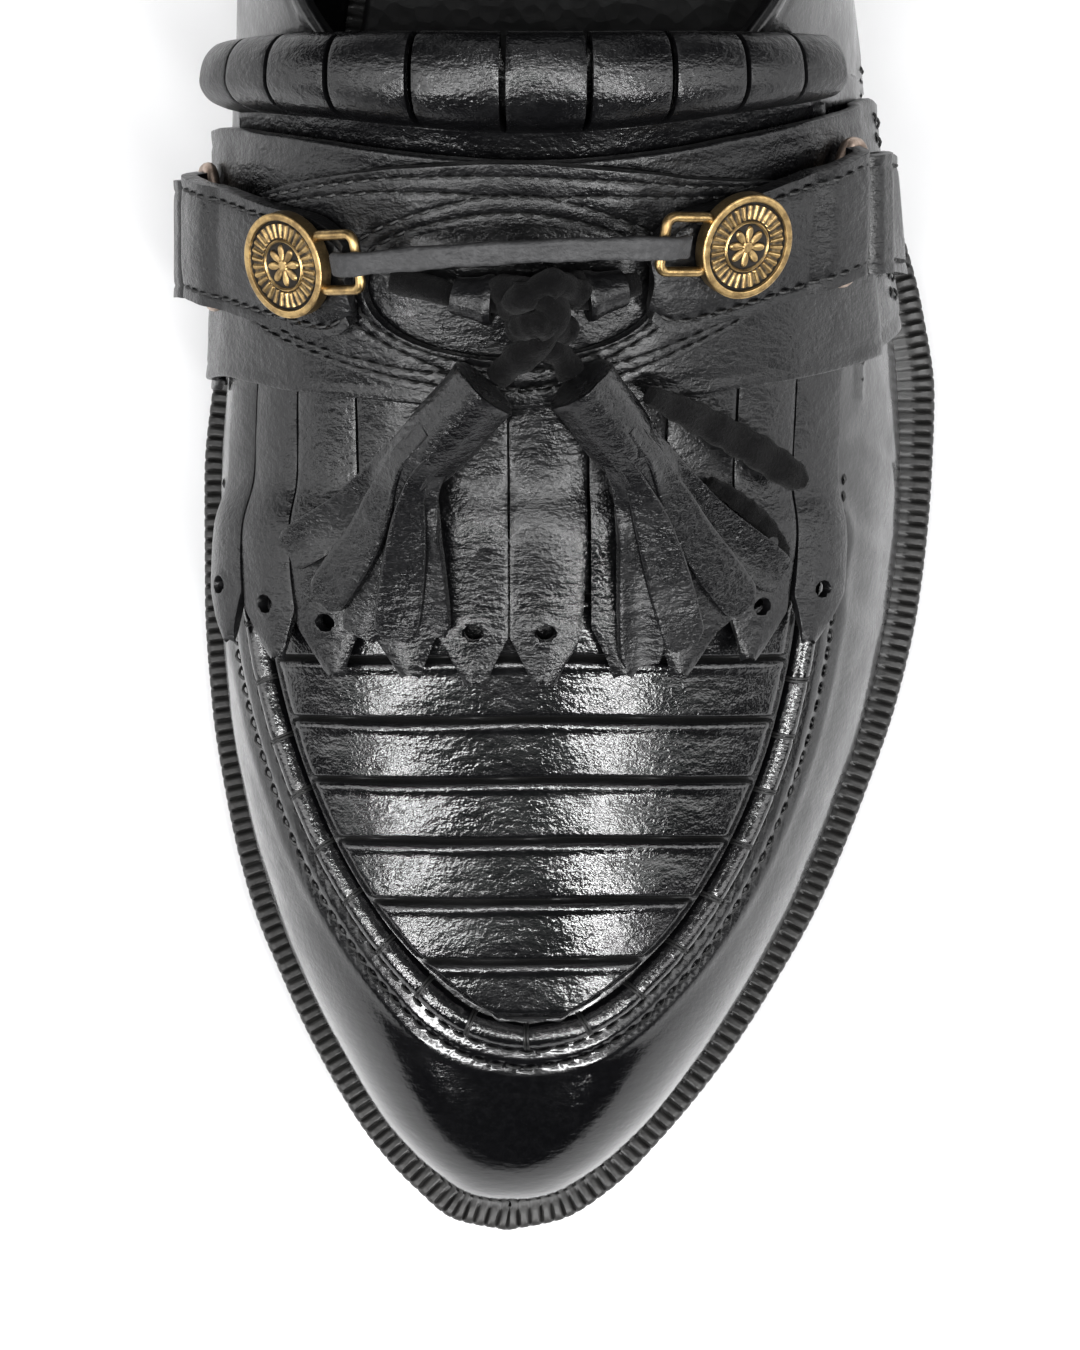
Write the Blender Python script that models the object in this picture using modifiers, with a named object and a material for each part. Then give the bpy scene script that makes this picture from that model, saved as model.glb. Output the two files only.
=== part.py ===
"""Left kiltie loafer: a hollow leather upper on a welted leather sole, with a pleated apron, a fringed kiltie,
a saddle with brass medallions, and two tassels on a suede cord.

Metres, +Z up. The toe points to -Y, +X is the outer (lateral) side, and the floor is z = 0.
Places are worked out along the shoe from the toe tip (along), and across it from the toe's own line (across);
to_world() moves them to the shared frame, whose origin is on the floor under the middle of the sole's box.
Tables hold shares of the named sizes, chosen by hand, with a row for each section.
"""

import math

import bmesh
import bpy
import numpy as np
from mathutils import Matrix, Vector

# Driving sizes of the shoe
LENGTH = 0.298
BALL_WIDTH = 0.1065
INSTEP_HEIGHT = 0.0955
BACK_HEIGHT = 0.090
HEEL_HEIGHT = 0.025
TOE_SPRING = 0.014
TOE_SWING = 0.0054
TOE_SWING_REACH = 0.1000
WALL = 0.0022
GAP = 0.0003
LAYER_GAP = 0.0006

# Sole
OUTSOLE_THICK = 0.0050
WELT_THICK = 0.0028
WELT_BAND = 0.0100
WELT_SHOWS = 0.0036
INSOLE_THICK = 0.0030
INSOLE_CLEARANCE = 0.0010
TOP_PIECE_THICK = 0.0060
HEEL_FRONT = 0.2260
HEEL_TAPER = 0.96

# Upper
TUCK_HEIGHT = 0.0300
HEEL_LEAN_TOP = 0.0040
HEEL_LEAN_LOW = 0.0015
HEEL_WIDEST_HEIGHT = 0.0500
THROAT = 0.1585
THROAT_BOW = 0.0030
FOOT_CORE_HEIGHT = 0.0300

# Apron: its roll, and the pleated panel inside the roll
APRON_FRONT = 0.0295
APRON_WIDTH = 0.0780
ROLL_END = 0.1000
ROLL_WIDTH = 0.0036
ROLL_RISE = 0.0021
PLEAT_PITCH = 0.00835
PLEAT_FIRST = 0.0405
PLEAT_COUNT = 8
PLEAT_GROOVE = 0.0006
PANEL_THICK = 0.0013
PANEL_SWELL = 0.0005

# Kiltie
KILTIE_THICK = 0.0014
KILTIE_STRIPS = 10
FRINGE_TIP = 0.0800
FRINGE_POINT = 0.0050
FRINGE_SLIT_END = 0.1190
SLIT_GAP = 0.0006
FOLD_RISE = 0.0062

# Saddle and the shaped overlay on it
SADDLE_THICK = 0.0017
OVERLAY_THICK = 0.0013
SIDE_STRAP_THICK = 0.0022
SIDE_STRAP_WIDTH = 0.0150
ANCHOR_THICK = 0.0018

# Hardware
MEDALLION_RADIUS = 0.0071
MEDALLION_THICK = 0.0022
LOOP_LENGTH = 0.0065
LOOP_WIDTH = 0.0088
LOOP_BAR = 0.0014
LOOP_THICK = 0.0014
RING_LENGTH = 0.0205
RING_WIDTH = 0.0100
RING_WIRE = 0.0018
THONG_WIDTH = 0.0031
THONG_THICK = 0.0014

# Cord and tassels
CORD_RADIUS = 0.0017
LEG_RADIUS = 0.0021
CORD_END_WIDTH = 0.0042
CORD_END_THICK = 0.0022
TASSEL_HEAD_RADIUS = 0.0047
TASSEL_STRIP_WIDTH = 0.0050
TASSEL_STRIP_THICK = 0.0016


def table(columns, rows):
    """A short table as one array for each named column."""
    return dict(zip(columns.split(), np.array(rows, float).T))


# Sole outline: along is a share of LENGTH, medial and lateral are shares of BALL_WIDTH.
SOLE = table(
    "along medial lateral",
    [
        (0.0000, 0.000, 0.000),
        (0.0050, 0.070, 0.070),
        (0.0200, 0.130, 0.135),
        (0.0436, 0.198, 0.195),
        (0.0805, 0.273, 0.271),
        (0.1190, 0.335, 0.334),
        (0.1580, 0.387, 0.389),
        (0.2070, 0.428, 0.441),
        (0.2550, 0.453, 0.484),
        (0.3050, 0.464, 0.513),
        (0.3620, 0.465, 0.529),
        (0.4030, 0.455, 0.533),
        (0.4460, 0.425, 0.515),
        (0.5030, 0.355, 0.468),
        (0.5600, 0.302, 0.415),
        (0.6210, 0.280, 0.370),
        (0.6880, 0.283, 0.343),
        (0.7550, 0.298, 0.330),
        (0.8220, 0.312, 0.328),
        (0.8790, 0.315, 0.325),
        (0.9260, 0.290, 0.300),
        (0.9600, 0.238, 0.248),
        (0.9830, 0.163, 0.173),
        (0.9960, 0.080, 0.085),
        (1.0000, 0.000, 0.000),
    ],
)

# Upper's outline from above, in the same shares.
UPPER = table(
    "along medial lateral",
    [
        (0.0125, 0.000, 0.000),
        (0.0175, 0.062, 0.062),
        (0.0290, 0.112, 0.113),
        (0.0500, 0.176, 0.173),
        (0.0850, 0.247, 0.243),
        (0.1220, 0.308, 0.303),
        (0.1610, 0.358, 0.356),
        (0.2090, 0.401, 0.407),
        (0.2560, 0.427, 0.447),
        (0.3060, 0.438, 0.473),
        (0.3620, 0.438, 0.486),
        (0.4160, 0.430, 0.478),
        (0.4700, 0.424, 0.452),
        (0.5200, 0.421, 0.430),
        (0.5700, 0.415, 0.418),
        (0.6210, 0.394, 0.398),
        (0.6800, 0.368, 0.374),
        (0.7400, 0.345, 0.355),
        (0.8050, 0.333, 0.343),
        (0.8700, 0.328, 0.338),
        (0.9230, 0.303, 0.315),
        (0.9560, 0.253, 0.264),
        (0.9790, 0.180, 0.190),
        (0.9930, 0.090, 0.096),
        (0.9975, 0.000, 0.000),
    ],
)

# Profile: along is a share of LENGTH. under is the sole's underside, as a share of TOE_SPRING ahead of the ball
# and of HEEL_HEIGHT behind it. ridge is the upper's highest line as a share of INSTEP_HEIGHT; behind the throat
# it is the line that the quarters lean towards.
UNDER = table(
    "along toe heel",
    [
        (0.000, 1.00, 0.00),
        (0.060, 0.72, 0.00),
        (0.140, 0.38, 0.00),
        (0.220, 0.08, 0.00),
        (0.280, 0.00, 0.00),
        (0.395, 0.00, 0.00),
        (0.450, 0.00, 0.08),
        (0.550, 0.00, 0.38),
        (0.650, 0.00, 0.70),
        (0.740, 0.00, 0.90),
        (0.850, 0.00, 0.97),
        (1.000, 0.00, 1.00),
    ],
)
RIDGE = table(
    "along height",
    [
        (0.0125, 0.225),
        (0.0165, 0.298),
        (0.0240, 0.352),
        (0.0380, 0.402),
        (0.0600, 0.444),
        (0.0850, 0.475),
        (0.1200, 0.508),
        (0.1700, 0.547),
        (0.2200, 0.583),
        (0.2700, 0.628),
        (0.3200, 0.682),
        (0.3700, 0.742),
        (0.4200, 0.810),
        (0.4700, 0.883),
        (0.5200, 0.962),
        (0.5450, 1.000),
        (0.6200, 1.200),
        (0.7000, 1.380),
        (0.8000, 1.520),
        (1.0000, 1.600),
    ],
)

# Topline: height as a share of BACK_HEIGHT, from the throat back to the heel.
TOPLINE = table(
    "along height",
    [
        (0.5319, 1.062),
        (0.5330, 1.000),
        (0.5350, 0.950),
        (0.5420, 0.915),
        (0.5700, 0.888),
        (0.6200, 0.868),
        (0.6800, 0.855),
        (0.7400, 0.850),
        (0.8000, 0.858),
        (0.8600, 0.885),
        (0.9200, 0.930),
        (0.9700, 0.978),
        (1.0000, 1.000),
    ],
)

# Roundness of each side's section: 2 is an ellipse, more is boxier. ridge is the ridge's place across, as a share
# of BALL_WIDTH.
SECTIONS = table(
    "along medial lateral ridge",
    [
        (0.000, 2.30, 2.20, 0.000),
        (0.100, 2.40, 2.10, 0.002),
        (0.200, 2.55, 1.92, -0.008),
        (0.300, 2.55, 1.88, -0.016),
        (0.420, 2.40, 2.00, -0.018),
        (0.540, 2.35, 2.20, -0.016),
        (0.700, 2.40, 2.40, 0.000),
        (1.000, 2.40, 2.40, 0.005),
    ],
)

# Apron's half width as a share of APRON_WIDTH, against the way back from APRON_FRONT as a share of LENGTH.
APRON = table(
    "back half",
    [
        (0.0000, 0.000),
        (0.0015, 0.042),
        (0.0070, 0.105),
        (0.0300, 0.212),
        (0.0645, 0.312),
        (0.1050, 0.392),
        (0.1470, 0.447),
        (0.1890, 0.480),
        (0.2400, 0.497),
        (0.2900, 0.500),
    ],
)

# Saddle's edges along the shoe, at each share of the girth from the medial feather (-1) to the lateral one (1).
SADDLE = table(
    "girth front back",
    [
        (-0.82, 0.1200, 0.1515),
        (-0.60, 0.1210, 0.1520),
        (-0.35, 0.1185, 0.1505),
        (0.00, 0.1165, 0.1480),
        (0.35, 0.1200, 0.1515),
        (0.60, 0.1240, 0.1545),
        (0.80, 0.1280, 0.1570),
    ],
)

# Shaped overlay's edges along the shoe, at each share of the girth.
OVERLAY = table(
    "girth front back",
    [
        (-0.500, 0.1285, 0.1440),
        (-0.420, 0.1258, 0.1450),
        (-0.280, 0.1223, 0.1465),
        (-0.140, 0.1192, 0.1480),
        (-0.020, 0.1178, 0.1486),
        (0.090, 0.1195, 0.1480),
        (0.230, 0.1250, 0.1470),
        (0.410, 0.1325, 0.1474),
    ],
)
OPENING_MIDDLE = -0.028
OPENING_GIRTH = 0.185
OPENING_FRONT = 0.1235
OPENING_BACK = 0.1410

# Each side's strap, ring and medallion, as girth shares with their place along the shoe.
SIDES = {
    "medial": {"ring": (0.1386, -0.577), "end": (0.1335, -0.221), "medallion": (0.1341, -0.0333), "anchor": -0.75},
    "lateral": {"ring": (0.1412, 0.481), "end": (0.1345, 0.140), "medallion": (0.1364, 0.0255), "anchor": 0.72},
}

# Tassels, as places along and across: the head's top and neck, and each strip's end.
TASSELS = {
    "medial": {
        "top": (0.1172, -0.0080),
        "neck": (0.1075, -0.0172),
        "ends": [(0.0962, -0.0345), (0.0895, -0.0300), (0.0850, -0.0250), (0.0845, -0.0200), (0.0850, -0.0155)],
    },
    "lateral": {
        "top": (0.1176, 0.0046),
        "neck": (0.1085, 0.0118),
        "ends": [(0.0930, 0.0318), (0.0888, 0.0272), (0.0860, 0.0235), (0.0835, 0.0190), (0.0812, 0.0130)],
    },
}

# Suede cord under the thong, from the medial end to the lateral end, as along, across and lift, and the two legs
# that hold the tassels.
CORD_LINE = [
    (0.1315, -0.0200, 0.0085),
    (0.1300, -0.0150, 0.0088),
    (0.1288, -0.0100, 0.0095),
    (0.1283, -0.0050, 0.0100),
    (0.1282, -0.0010, 0.0102),
    (0.1286, 0.0030, 0.0100),
    (0.1294, 0.0070, 0.0095),
    (0.1303, 0.0105, 0.0090),
    (0.1307, 0.0122, 0.0088),
]
LEGS = {
    "medial": [(0.1270, -0.0004, 0.0108), (0.1235, -0.0022, 0.0115), (0.1186, -0.0064, 0.0112)],
    "lateral": [(0.1270, -0.0016, 0.0112), (0.1238, 0.0002, 0.0120), (0.1192, 0.0033, 0.0114)],
}
KNOT_LUMPS = [
    (0.1280, -0.0030, 0.0112, 0.0031, 0.0030, 0.0027),
    (0.1283, 0.0014, 0.0112, 0.0030, 0.0031, 0.0027),
    (0.1240, -0.0008, 0.0120, 0.0031, 0.0030, 0.0026),
]

# Free suede ends, as along, across and lift, from the knot out.
CORD_ENDS = {
    "long": [
        (0.1164, 0.0138, 0.0100),
        (0.1148, 0.0178, 0.0085),
        (0.1125, 0.0230, 0.0066),
        (0.1097, 0.0285, 0.0062),
        (0.1070, 0.0330, 0.0060),
        (0.1058, 0.0352, 0.0060),
    ],
}

BOX_MIDDLE = BALL_WIDTH * (SOLE["lateral"].max() - SOLE["medial"].max()) / 2


def flowing(at, knots, values):
    """A smooth line through the knots with no overshoot, flat between equal values."""
    at, knots, values = (np.asarray(a, float) for a in (at, knots, values))
    step = np.diff(knots)
    slope = np.diff(values) / step
    same = slope[:-1] * slope[1:] > 0
    mean = np.zeros(len(slope) - 1)
    before, after = 2 * step[1:] + step[:-1], step[1:] + 2 * step[:-1]
    mean[same] = (before + after)[same] / (before[same] / slope[:-1][same] + after[same] / slope[1:][same])
    tangent = np.concatenate([slope[:1], mean, slope[-1:]])
    at = np.clip(at, knots[0], knots[-1])
    i = np.clip(np.searchsorted(knots, at, side="right") - 1, 0, len(step) - 1)
    t = (at - knots[i]) / step[i]
    rise = (3 - 2 * t) * t * t
    return (
        values[i] * (1 - rise)
        + values[i + 1] * rise
        + step[i] * t * (1 - t) * ((1 - t) * tangent[i] - t * tangent[i + 1])
    )


def outline(rows, count):
    """An outline's stations, closer together at its round ends: arrays along, medial and lateral, in metres."""
    steps = np.linspace(0, len(rows["along"]) - 1, count)
    index = np.arange(len(rows["along"]))
    along, medial, lateral = (flowing(steps, index, rows[c]) for c in ("along", "medial", "lateral"))
    return along * LENGTH, medial * BALL_WIDTH, lateral * BALL_WIDTH


FINE = 600
SOLE_LINE = outline(SOLE, FINE)
UPPER_LINE = outline(UPPER, FINE)


def half_width(line, along, side):
    """Half width of an outline at a place along the shoe, on side -1 (medial) or 1 (lateral)."""
    return np.interp(along, line[0], line[1] if side < 0 else line[2])


def underside(along):
    """Height of the outsole's underside: toe spring, a flat spot under the ball, the arch and the heel seat."""
    share = np.asarray(along) / LENGTH
    toe = flowing(share, UNDER["along"], UNDER["toe"]) * TOE_SPRING
    return toe + flowing(share, UNDER["along"], UNDER["heel"]) * HEEL_HEIGHT


def welt_top(along):
    """Height of the welt's upper face."""
    return underside(along) + OUTSOLE_THICK + GAP + WELT_THICK


def feather(along):
    """Height of the upper's lower edge, just clear of the welt."""
    return welt_top(along) + GAP


def ridge(along):
    """Height of the upper's highest line."""
    return flowing(np.asarray(along) / LENGTH, RIDGE["along"], RIDGE["height"]) * INSTEP_HEIGHT


def section(column, along):
    """A value of the section table at a place along the shoe."""
    return flowing(np.asarray(along) / LENGTH, SECTIONS["along"], SECTIONS[column])


def apron_line(along):
    """The line that the apron, kiltie and saddle are centred on, across the shoe."""
    return section("ridge", along) * BALL_WIDTH


def feather_inset(along):
    """How far the upper's lower edge stands in from the sole's edge: the welt that shows, less at the waist and heel."""
    share = np.asarray(along) / LENGTH
    return WELT_SHOWS * flowing(share, [0.0, 0.35, 0.52, 0.75, 1.0], [1.0, 0.9, 0.5, 0.45, 0.45])


def wall_rib(along, side, shares):
    """One side of the upper's section: points at shares of its girth, from the feather (0) to its top (1)."""
    low, high = feather(along), ridge(along)
    power = section("medial" if side < 0 else "lateral", along)
    centre = apron_line(along)
    widest = half_width(UPPER_LINE, along, side) - side * centre
    foot = half_width(SOLE_LINE, along, side) - feather_inset(along) - side * centre
    tuck = max(0.0, 1 - foot / widest) if widest > 1e-6 and along > 0.3 * LENGTH else 0.0
    reach = max(high - low, 1e-5)
    last = math.pi / 2
    if along > TOPLINE["along"][0] * LENGTH:
        edge = flowing(along / LENGTH, TOPLINE["along"], TOPLINE["height"]) * BACK_HEIGHT
        last = math.asin(min(1.0, (edge - low) / reach) ** (power / 2))
    turn = np.linspace(0, last, 64)
    rise = reach * np.sin(turn) ** (2 / power)
    out = widest * np.cos(turn).clip(0, 1) ** (2 / power)
    out *= 1 - tuck * (1 - np.minimum(rise / TUCK_HEIGHT, 1)) ** 2
    back = np.clip((along / LENGTH - 0.80) / 0.20, 0, 1) ** 2
    above = (low + rise - HEEL_WIDEST_HEIGHT) / (BACK_HEIGHT - HEEL_WIDEST_HEIGHT)
    lean = np.where(above > 0, HEEL_LEAN_TOP, HEEL_LEAN_LOW) * above**2 * back
    near = flowing(along / LENGTH, [0.42, 0.53, 0.64], [0, 1, 0]) * np.minimum(rise / TUCK_HEIGHT, 1)
    bow = THROAT_BOW * near * (out / (0.37 * BALL_WIDTH)) ** 2
    rib = np.stack([centre + side * out, along - lean + bow, low + rise], 1)
    girth = np.concatenate([[0], np.cumsum(np.linalg.norm(np.diff(rib, axis=0), axis=1))])
    return np.stack([np.interp(np.asarray(shares) * girth[-1], girth, rib[:, k]) for k in range(3)], 1)


def skin_tables():
    """The upper's outer face ahead of the throat as tables: stations, girth shares, points and outward normals."""
    stations = outline(UPPER, 240)[0]
    stations = np.append(stations[stations < THROAT + 0.003], THROAT + 0.006)
    shares = np.linspace(0, 1, 61)
    points = []
    for along in stations:
        inside = min(along, TOPLINE["along"][0] * LENGTH)
        medial, lateral = (wall_rib(inside, side, shares) for side in (-1, 1))
        rib = np.concatenate([medial, lateral[::-1][1:]])
        rib[:, 1] += along - inside
        points.append(rib)
    points = np.array(points)
    normals = np.cross(np.gradient(points, axis=1), np.gradient(points, axis=0))
    normals /= np.linalg.norm(normals, axis=2, keepdims=True).clip(1e-12)
    return stations, np.linspace(-1, 1, 121), points, normals


STATIONS, GIRTHS, SKIN, NORMALS = skin_tables()


def on_skin(along, girth, lift=0.0):
    """Points on the upper's outer face ahead of the throat, lifted off it along its normal."""
    along, girth, lift = np.broadcast_arrays(*(np.asarray(a, float) for a in (along, girth, lift)))
    i = np.clip(np.searchsorted(STATIONS, along) - 1, 0, len(STATIONS) - 2)
    j = np.clip(np.searchsorted(GIRTHS, girth) - 1, 0, len(GIRTHS) - 2)
    s = ((along - STATIONS[i]) / (STATIONS[i + 1] - STATIONS[i]))[..., None]
    t = ((girth - GIRTHS[j]) / (GIRTHS[j + 1] - GIRTHS[j]))[..., None]
    found = []
    for grid in (SKIN, NORMALS):
        found.append(
            (1 - s) * ((1 - t) * grid[i, j] + t * grid[i, j + 1])
            + s * ((1 - t) * grid[i + 1, j] + t * grid[i + 1, j + 1])
        )
    normal = found[1] / np.linalg.norm(found[1], axis=-1, keepdims=True)
    return found[0] + normal * lift[..., None]


def girth_at(along, across):
    """Girth share of the skin's point at a place seen from above."""
    i = int(np.clip(np.searchsorted(STATIONS, along), 1, len(STATIONS) - 1))
    t = (along - STATIONS[i - 1]) / (STATIONS[i] - STATIONS[i - 1])
    row = (1 - t) * SKIN[i - 1, :, 0] + t * SKIN[i, :, 0]
    return float(np.interp(across, np.maximum.accumulate(row), GIRTHS))


def over(along, across, lift):
    """A point above the skin at a place seen from above."""
    return on_skin(along, girth_at(along, across), lift)


def to_world(points):
    """Shoe places (across, along, height) to the shared frame, with the toe swung to the medial side."""
    moved = np.asarray(points, float) - np.array([BOX_MIDDLE, LENGTH / 2, 0])
    ahead = np.clip(1 - (moved[..., 1] + LENGTH / 2) / TOE_SWING_REACH, 0, None)
    moved[..., 0] -= TOE_SWING * ahead**2.2
    return moved


# Materials

FINISHES = {
    "upper_leather": ((0.012, 0.012, 0.014), 0.22, 0.0),
    "kiltie_leather": ((0.014, 0.014, 0.016), 0.30, 0.0),
    "strap_leather": ((0.016, 0.015, 0.016), 0.36, 0.0),
    "sole_leather": ((0.020, 0.019, 0.018), 0.45, 0.0),
    "heel_rubber": ((0.015, 0.015, 0.015), 0.70, 0.0),
    "lining_leather": ((0.030, 0.029, 0.030), 0.55, 0.0),
    "suede": ((0.010, 0.010, 0.011), 0.90, 0.0),
    "antique_brass": ((0.45, 0.34, 0.16), 0.35, 1.0),
    "aged_bronze": ((0.30, 0.23, 0.18), 0.42, 1.0),
}


def finish(name):
    """The Principled material of one finish, made once."""
    found = bpy.data.materials.get(name)
    if found:
        return found
    colour, roughness, metallic = FINISHES[name]
    made = bpy.data.materials.new(name)
    made.use_nodes = True
    shader = made.node_tree.nodes["Principled BSDF"]
    shader.inputs["Base Color"].default_value = (*colour, 1)
    shader.inputs["Roughness"].default_value = roughness
    shader.inputs["Metallic"].default_value = metallic
    return made


# Mesh tools


def add_object(name, mesh, material, collection):
    """Puts a mesh into the scene as one named piece."""
    mesh.materials.clear()
    mesh.materials.append(finish(material))
    piece = bpy.data.objects.new(name, mesh)
    collection.objects.link(piece)
    return piece


def mesh_of(name, points, faces):
    """A mesh from shoe places and faces, welded and with its normals outward, shaded smooth."""
    made = bmesh.new()
    corners = [made.verts.new(p) for p in to_world(points)]
    for face in faces:
        made.faces.new([corners[k] for k in face])
    bmesh.ops.remove_doubles(made, verts=made.verts, dist=2e-6)
    bmesh.ops.dissolve_degenerate(made, edges=made.edges, dist=2e-6)
    bmesh.ops.recalc_face_normals(made, faces=made.faces)
    mesh = bpy.data.meshes.new(name)
    made.to_mesh(mesh)
    made.free()
    mesh.shade_smooth()
    mesh.set_sharp_from_angle(angle=math.radians(40))
    return mesh


def grid_faces(rows, columns, wrap=False, start=0):
    """Faces of a grid of points given row by row; wrap joins the last column to the first."""
    last = columns if wrap else columns - 1
    return [
        (
            start + r * columns + c,
            start + r * columns + (c + 1) % columns,
            start + (r + 1) * columns + (c + 1) % columns,
            start + (r + 1) * columns + c,
        )
        for r in range(rows - 1)
        for c in range(last)
    ]


def upward(mesh):
    """Turns an open sheet's faces so that they look away from the foot."""
    away = [Vector((f.center.x + BOX_MIDDLE, 0, f.center.z - FOOT_CORE_HEIGHT)) for f in mesh.polygons]
    if sum(f.normal.dot(a) * f.area for f, a in zip(mesh.polygons, away)) < 0:
        mesh.flip_normals()
    return mesh


def add_sheet(name, mesh, thick, material, collection):
    """A leather piece: an open surface that Solidify thickens outward from its underside."""
    piece = add_object(name, upward(mesh), material, collection)
    wall = piece.modifiers.new("thickness", "SOLIDIFY")
    wall.thickness = thick
    wall.offset = 1.0
    wall.use_even_offset = False
    return piece


def loft(sections):
    """Points and faces of a closed solid through rings of equal length."""
    points = np.concatenate(sections)
    count, size = len(sections), len(sections[0])
    faces = grid_faces(count, size, wrap=True)
    faces.append(tuple(range(size))[::-1])
    faces.append(tuple((count - 1) * size + k for k in range(size)))
    return points, faces


def frames_along(path, up):
    """Side and up directions at each point of a path, the ups given."""
    ahead = np.gradient(path, axis=0)
    ahead /= np.linalg.norm(ahead, axis=1, keepdims=True)
    side = np.cross(ahead, up)
    side /= np.linalg.norm(side, axis=1, keepdims=True)
    return side, np.cross(side, ahead)


def in_triangles(mesh):
    """Splits a mesh's faces into triangles, so that each is flat."""
    made = bmesh.new()
    made.from_mesh(mesh)
    bmesh.ops.triangulate(made, faces=made.faces)
    made.to_mesh(mesh)
    made.free()


def union(first, second):
    """Joins the second solid's mesh into the first by a Boolean union, which is applied, and removes the second."""
    in_triangles(first.data)
    in_triangles(second.data)
    join = first.modifiers.new("join", "BOOLEAN")
    join.operation = "UNION"
    join.object = second
    bpy.context.view_layer.update()
    graph = bpy.context.evaluated_depsgraph_get()
    joined = bpy.data.meshes.new_from_object(first.evaluated_get(graph))
    first.modifiers.remove(join)
    old, first.data = first.data, joined
    bpy.data.meshes.remove(old)
    bpy.data.objects.remove(second)
    return first


# Sole


def slab(name, line, inset, low, high, material, collection, taper=1.0):
    """A solid between two height functions inside an outline drawn in by inset; taper narrows its underside."""
    along, medial, lateral = line
    middle, half = (along[0] + along[-1]) / 2, (along[-1] - along[0]) / 2
    back = middle + (along - middle) * (1 - inset / half)
    left, right = (np.maximum(w - np.minimum(inset, w / 3), 0.0006) for w in (medial, lateral))
    left = -left
    rings = []
    for y, m, l in zip(back, left, right):
        under = middle + (y - middle) * taper
        rings.append([(m * taper, under, low(y)), (l * taper, under, low(y)), (l, y, high(y)), (m, y, high(y))])
    points, faces = loft(np.array(rings))
    return add_object(name, mesh_of(name, points, faces), material, collection)


def heel_line(scale):
    """The sole's outline behind the heel's front, scaled about its middle."""
    along, medial, lateral = outline(SOLE, 90)
    kept = along >= HEEL_FRONT
    middle = (along[kept][0] + along[-1]) / 2
    return middle + (along[kept] - middle) * scale, medial[kept] * scale, lateral[kept] * scale


def perimeter(line, inset=0.0):
    """An outline as one closed loop of places, moved inward by inset."""
    along, medial, lateral = line
    loop = np.concatenate(
        [np.stack([lateral, along], 1)[:-1], np.stack([-medial, along], 1)[::-1][:-1]]
    )
    ahead = np.roll(loop, -1, axis=0) - np.roll(loop, 1, axis=0)
    normal = np.stack([-ahead[:, 1], ahead[:, 0]], 1)
    normal /= np.linalg.norm(normal, axis=1, keepdims=True)
    return loop + normal * inset


def add_welt(collection):
    """The welt: a band round the sole's edge, from under the upper out to the outsole's outline."""
    line = outline(SOLE, 50)
    outer, inner = perimeter(line), perimeter(line, WELT_BAND)
    rings = []
    for (ox, oy), (ix, iy) in zip(outer, inner):
        rings.append(
            [
                (ix, iy, welt_top(iy) - WELT_THICK),
                (ox, oy, welt_top(oy) - WELT_THICK),
                (ox, oy, welt_top(oy)),
                (ix, iy, welt_top(iy)),
            ]
        )
    rings.append(rings[0])
    points = np.concatenate(np.array(rings))
    mesh = mesh_of("welt", points, grid_faces(len(rings), 4, wrap=True))
    return add_object("welt", mesh, "sole_leather", collection)


def add_sole(collection):
    """Outsole, welt, stacked heel, its rubber top piece, and the insole."""
    line = outline(SOLE, 50)
    slab("outsole", line, 0.0, underside, lambda y: underside(y) + OUTSOLE_THICK, "sole_leather", collection)
    add_welt(collection)

    def lift_top(along):
        return underside(along) - GAP

    foot = HEEL_TAPER + (1 - HEEL_TAPER) * TOP_PIECE_THICK / HEEL_HEIGHT
    stack_top = TOP_PIECE_THICK + GAP
    slab("heel_stack", heel_line(1), 0.0006, lambda y: stack_top, lift_top, "sole_leather", collection, foot)
    top_piece = heel_line(foot), 0.0006, lambda y: 0.0, lambda y: TOP_PIECE_THICK
    slab("heel_top_piece", *top_piece, "heel_rubber", collection, HEEL_TAPER / foot)
    inner = outline(UPPER, 46)
    foot = []
    for side in (-1, 1):
        sole = half_width(SOLE_LINE, inner[0], side) - feather_inset(inner[0])
        foot.append(np.minimum(half_width(UPPER_LINE, inner[0], side), sole).clip(0))
    slab(
        "insole",
        (inner[0], *foot),
        WALL + INSOLE_CLEARANCE,
        lambda y: welt_top(y) + GAP,
        lambda y: welt_top(y) + GAP + INSOLE_THICK,
        "lining_leather",
        collection,
    )


# Upper


def upper_stations():
    """Places of the upper's ribs: round the toe, along the vamp, close at the throat, and round the heel."""
    toe = outline(UPPER, 49)[0]
    front = toe[toe < 0.16 * LENGTH]
    vamp = np.linspace(0.175, 0.520, 10) * LENGTH
    throat = TOPLINE["along"][:5] * LENGTH
    rest = toe[toe > 0.595 * LENGTH]
    quarters = rest[rest < 0.9 * LENGTH]
    heel = rest[rest >= 0.9 * LENGTH]
    return np.concatenate([front, vamp, throat, quarters, heel])


def add_upper(collection):
    """Vamp, tongue and quarters as one hollow wall, open underneath, at the throat and round the collar."""
    stations = upper_stations()
    shares = np.linspace(0, 1, 10) ** 0.9
    points, faces = [], []
    for side in (-1, 1):
        ribs = [wall_rib(along, side, shares) for along in stations]
        faces += grid_faces(len(ribs), len(shares), start=sum(len(p) for p in points))
        points += ribs
    points = np.concatenate(points)
    mesh = mesh_of("upper", points, faces)
    piece = add_sheet("upper", mesh, WALL, "upper_leather", collection)
    piece.modifiers["thickness"].offset = -1.0
    return piece


def apron_half(along):
    """Half width of the apron's seam at a place along the shoe."""
    return flowing((np.asarray(along) - APRON_FRONT) / LENGTH, APRON["back"], APRON["half"]) * APRON_WIDTH


def apron_path(count):
    """The apron's seam from the medial side round the toe to the lateral side, as along and across."""
    reach = ROLL_END - APRON_FRONT
    turn = np.linspace(-1, 1, count)
    along = APRON_FRONT + reach * np.abs(turn) ** 2
    across = np.sign(turn) * apron_half(along) + apron_line(along)
    return np.stack([along, across], 1)


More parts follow.
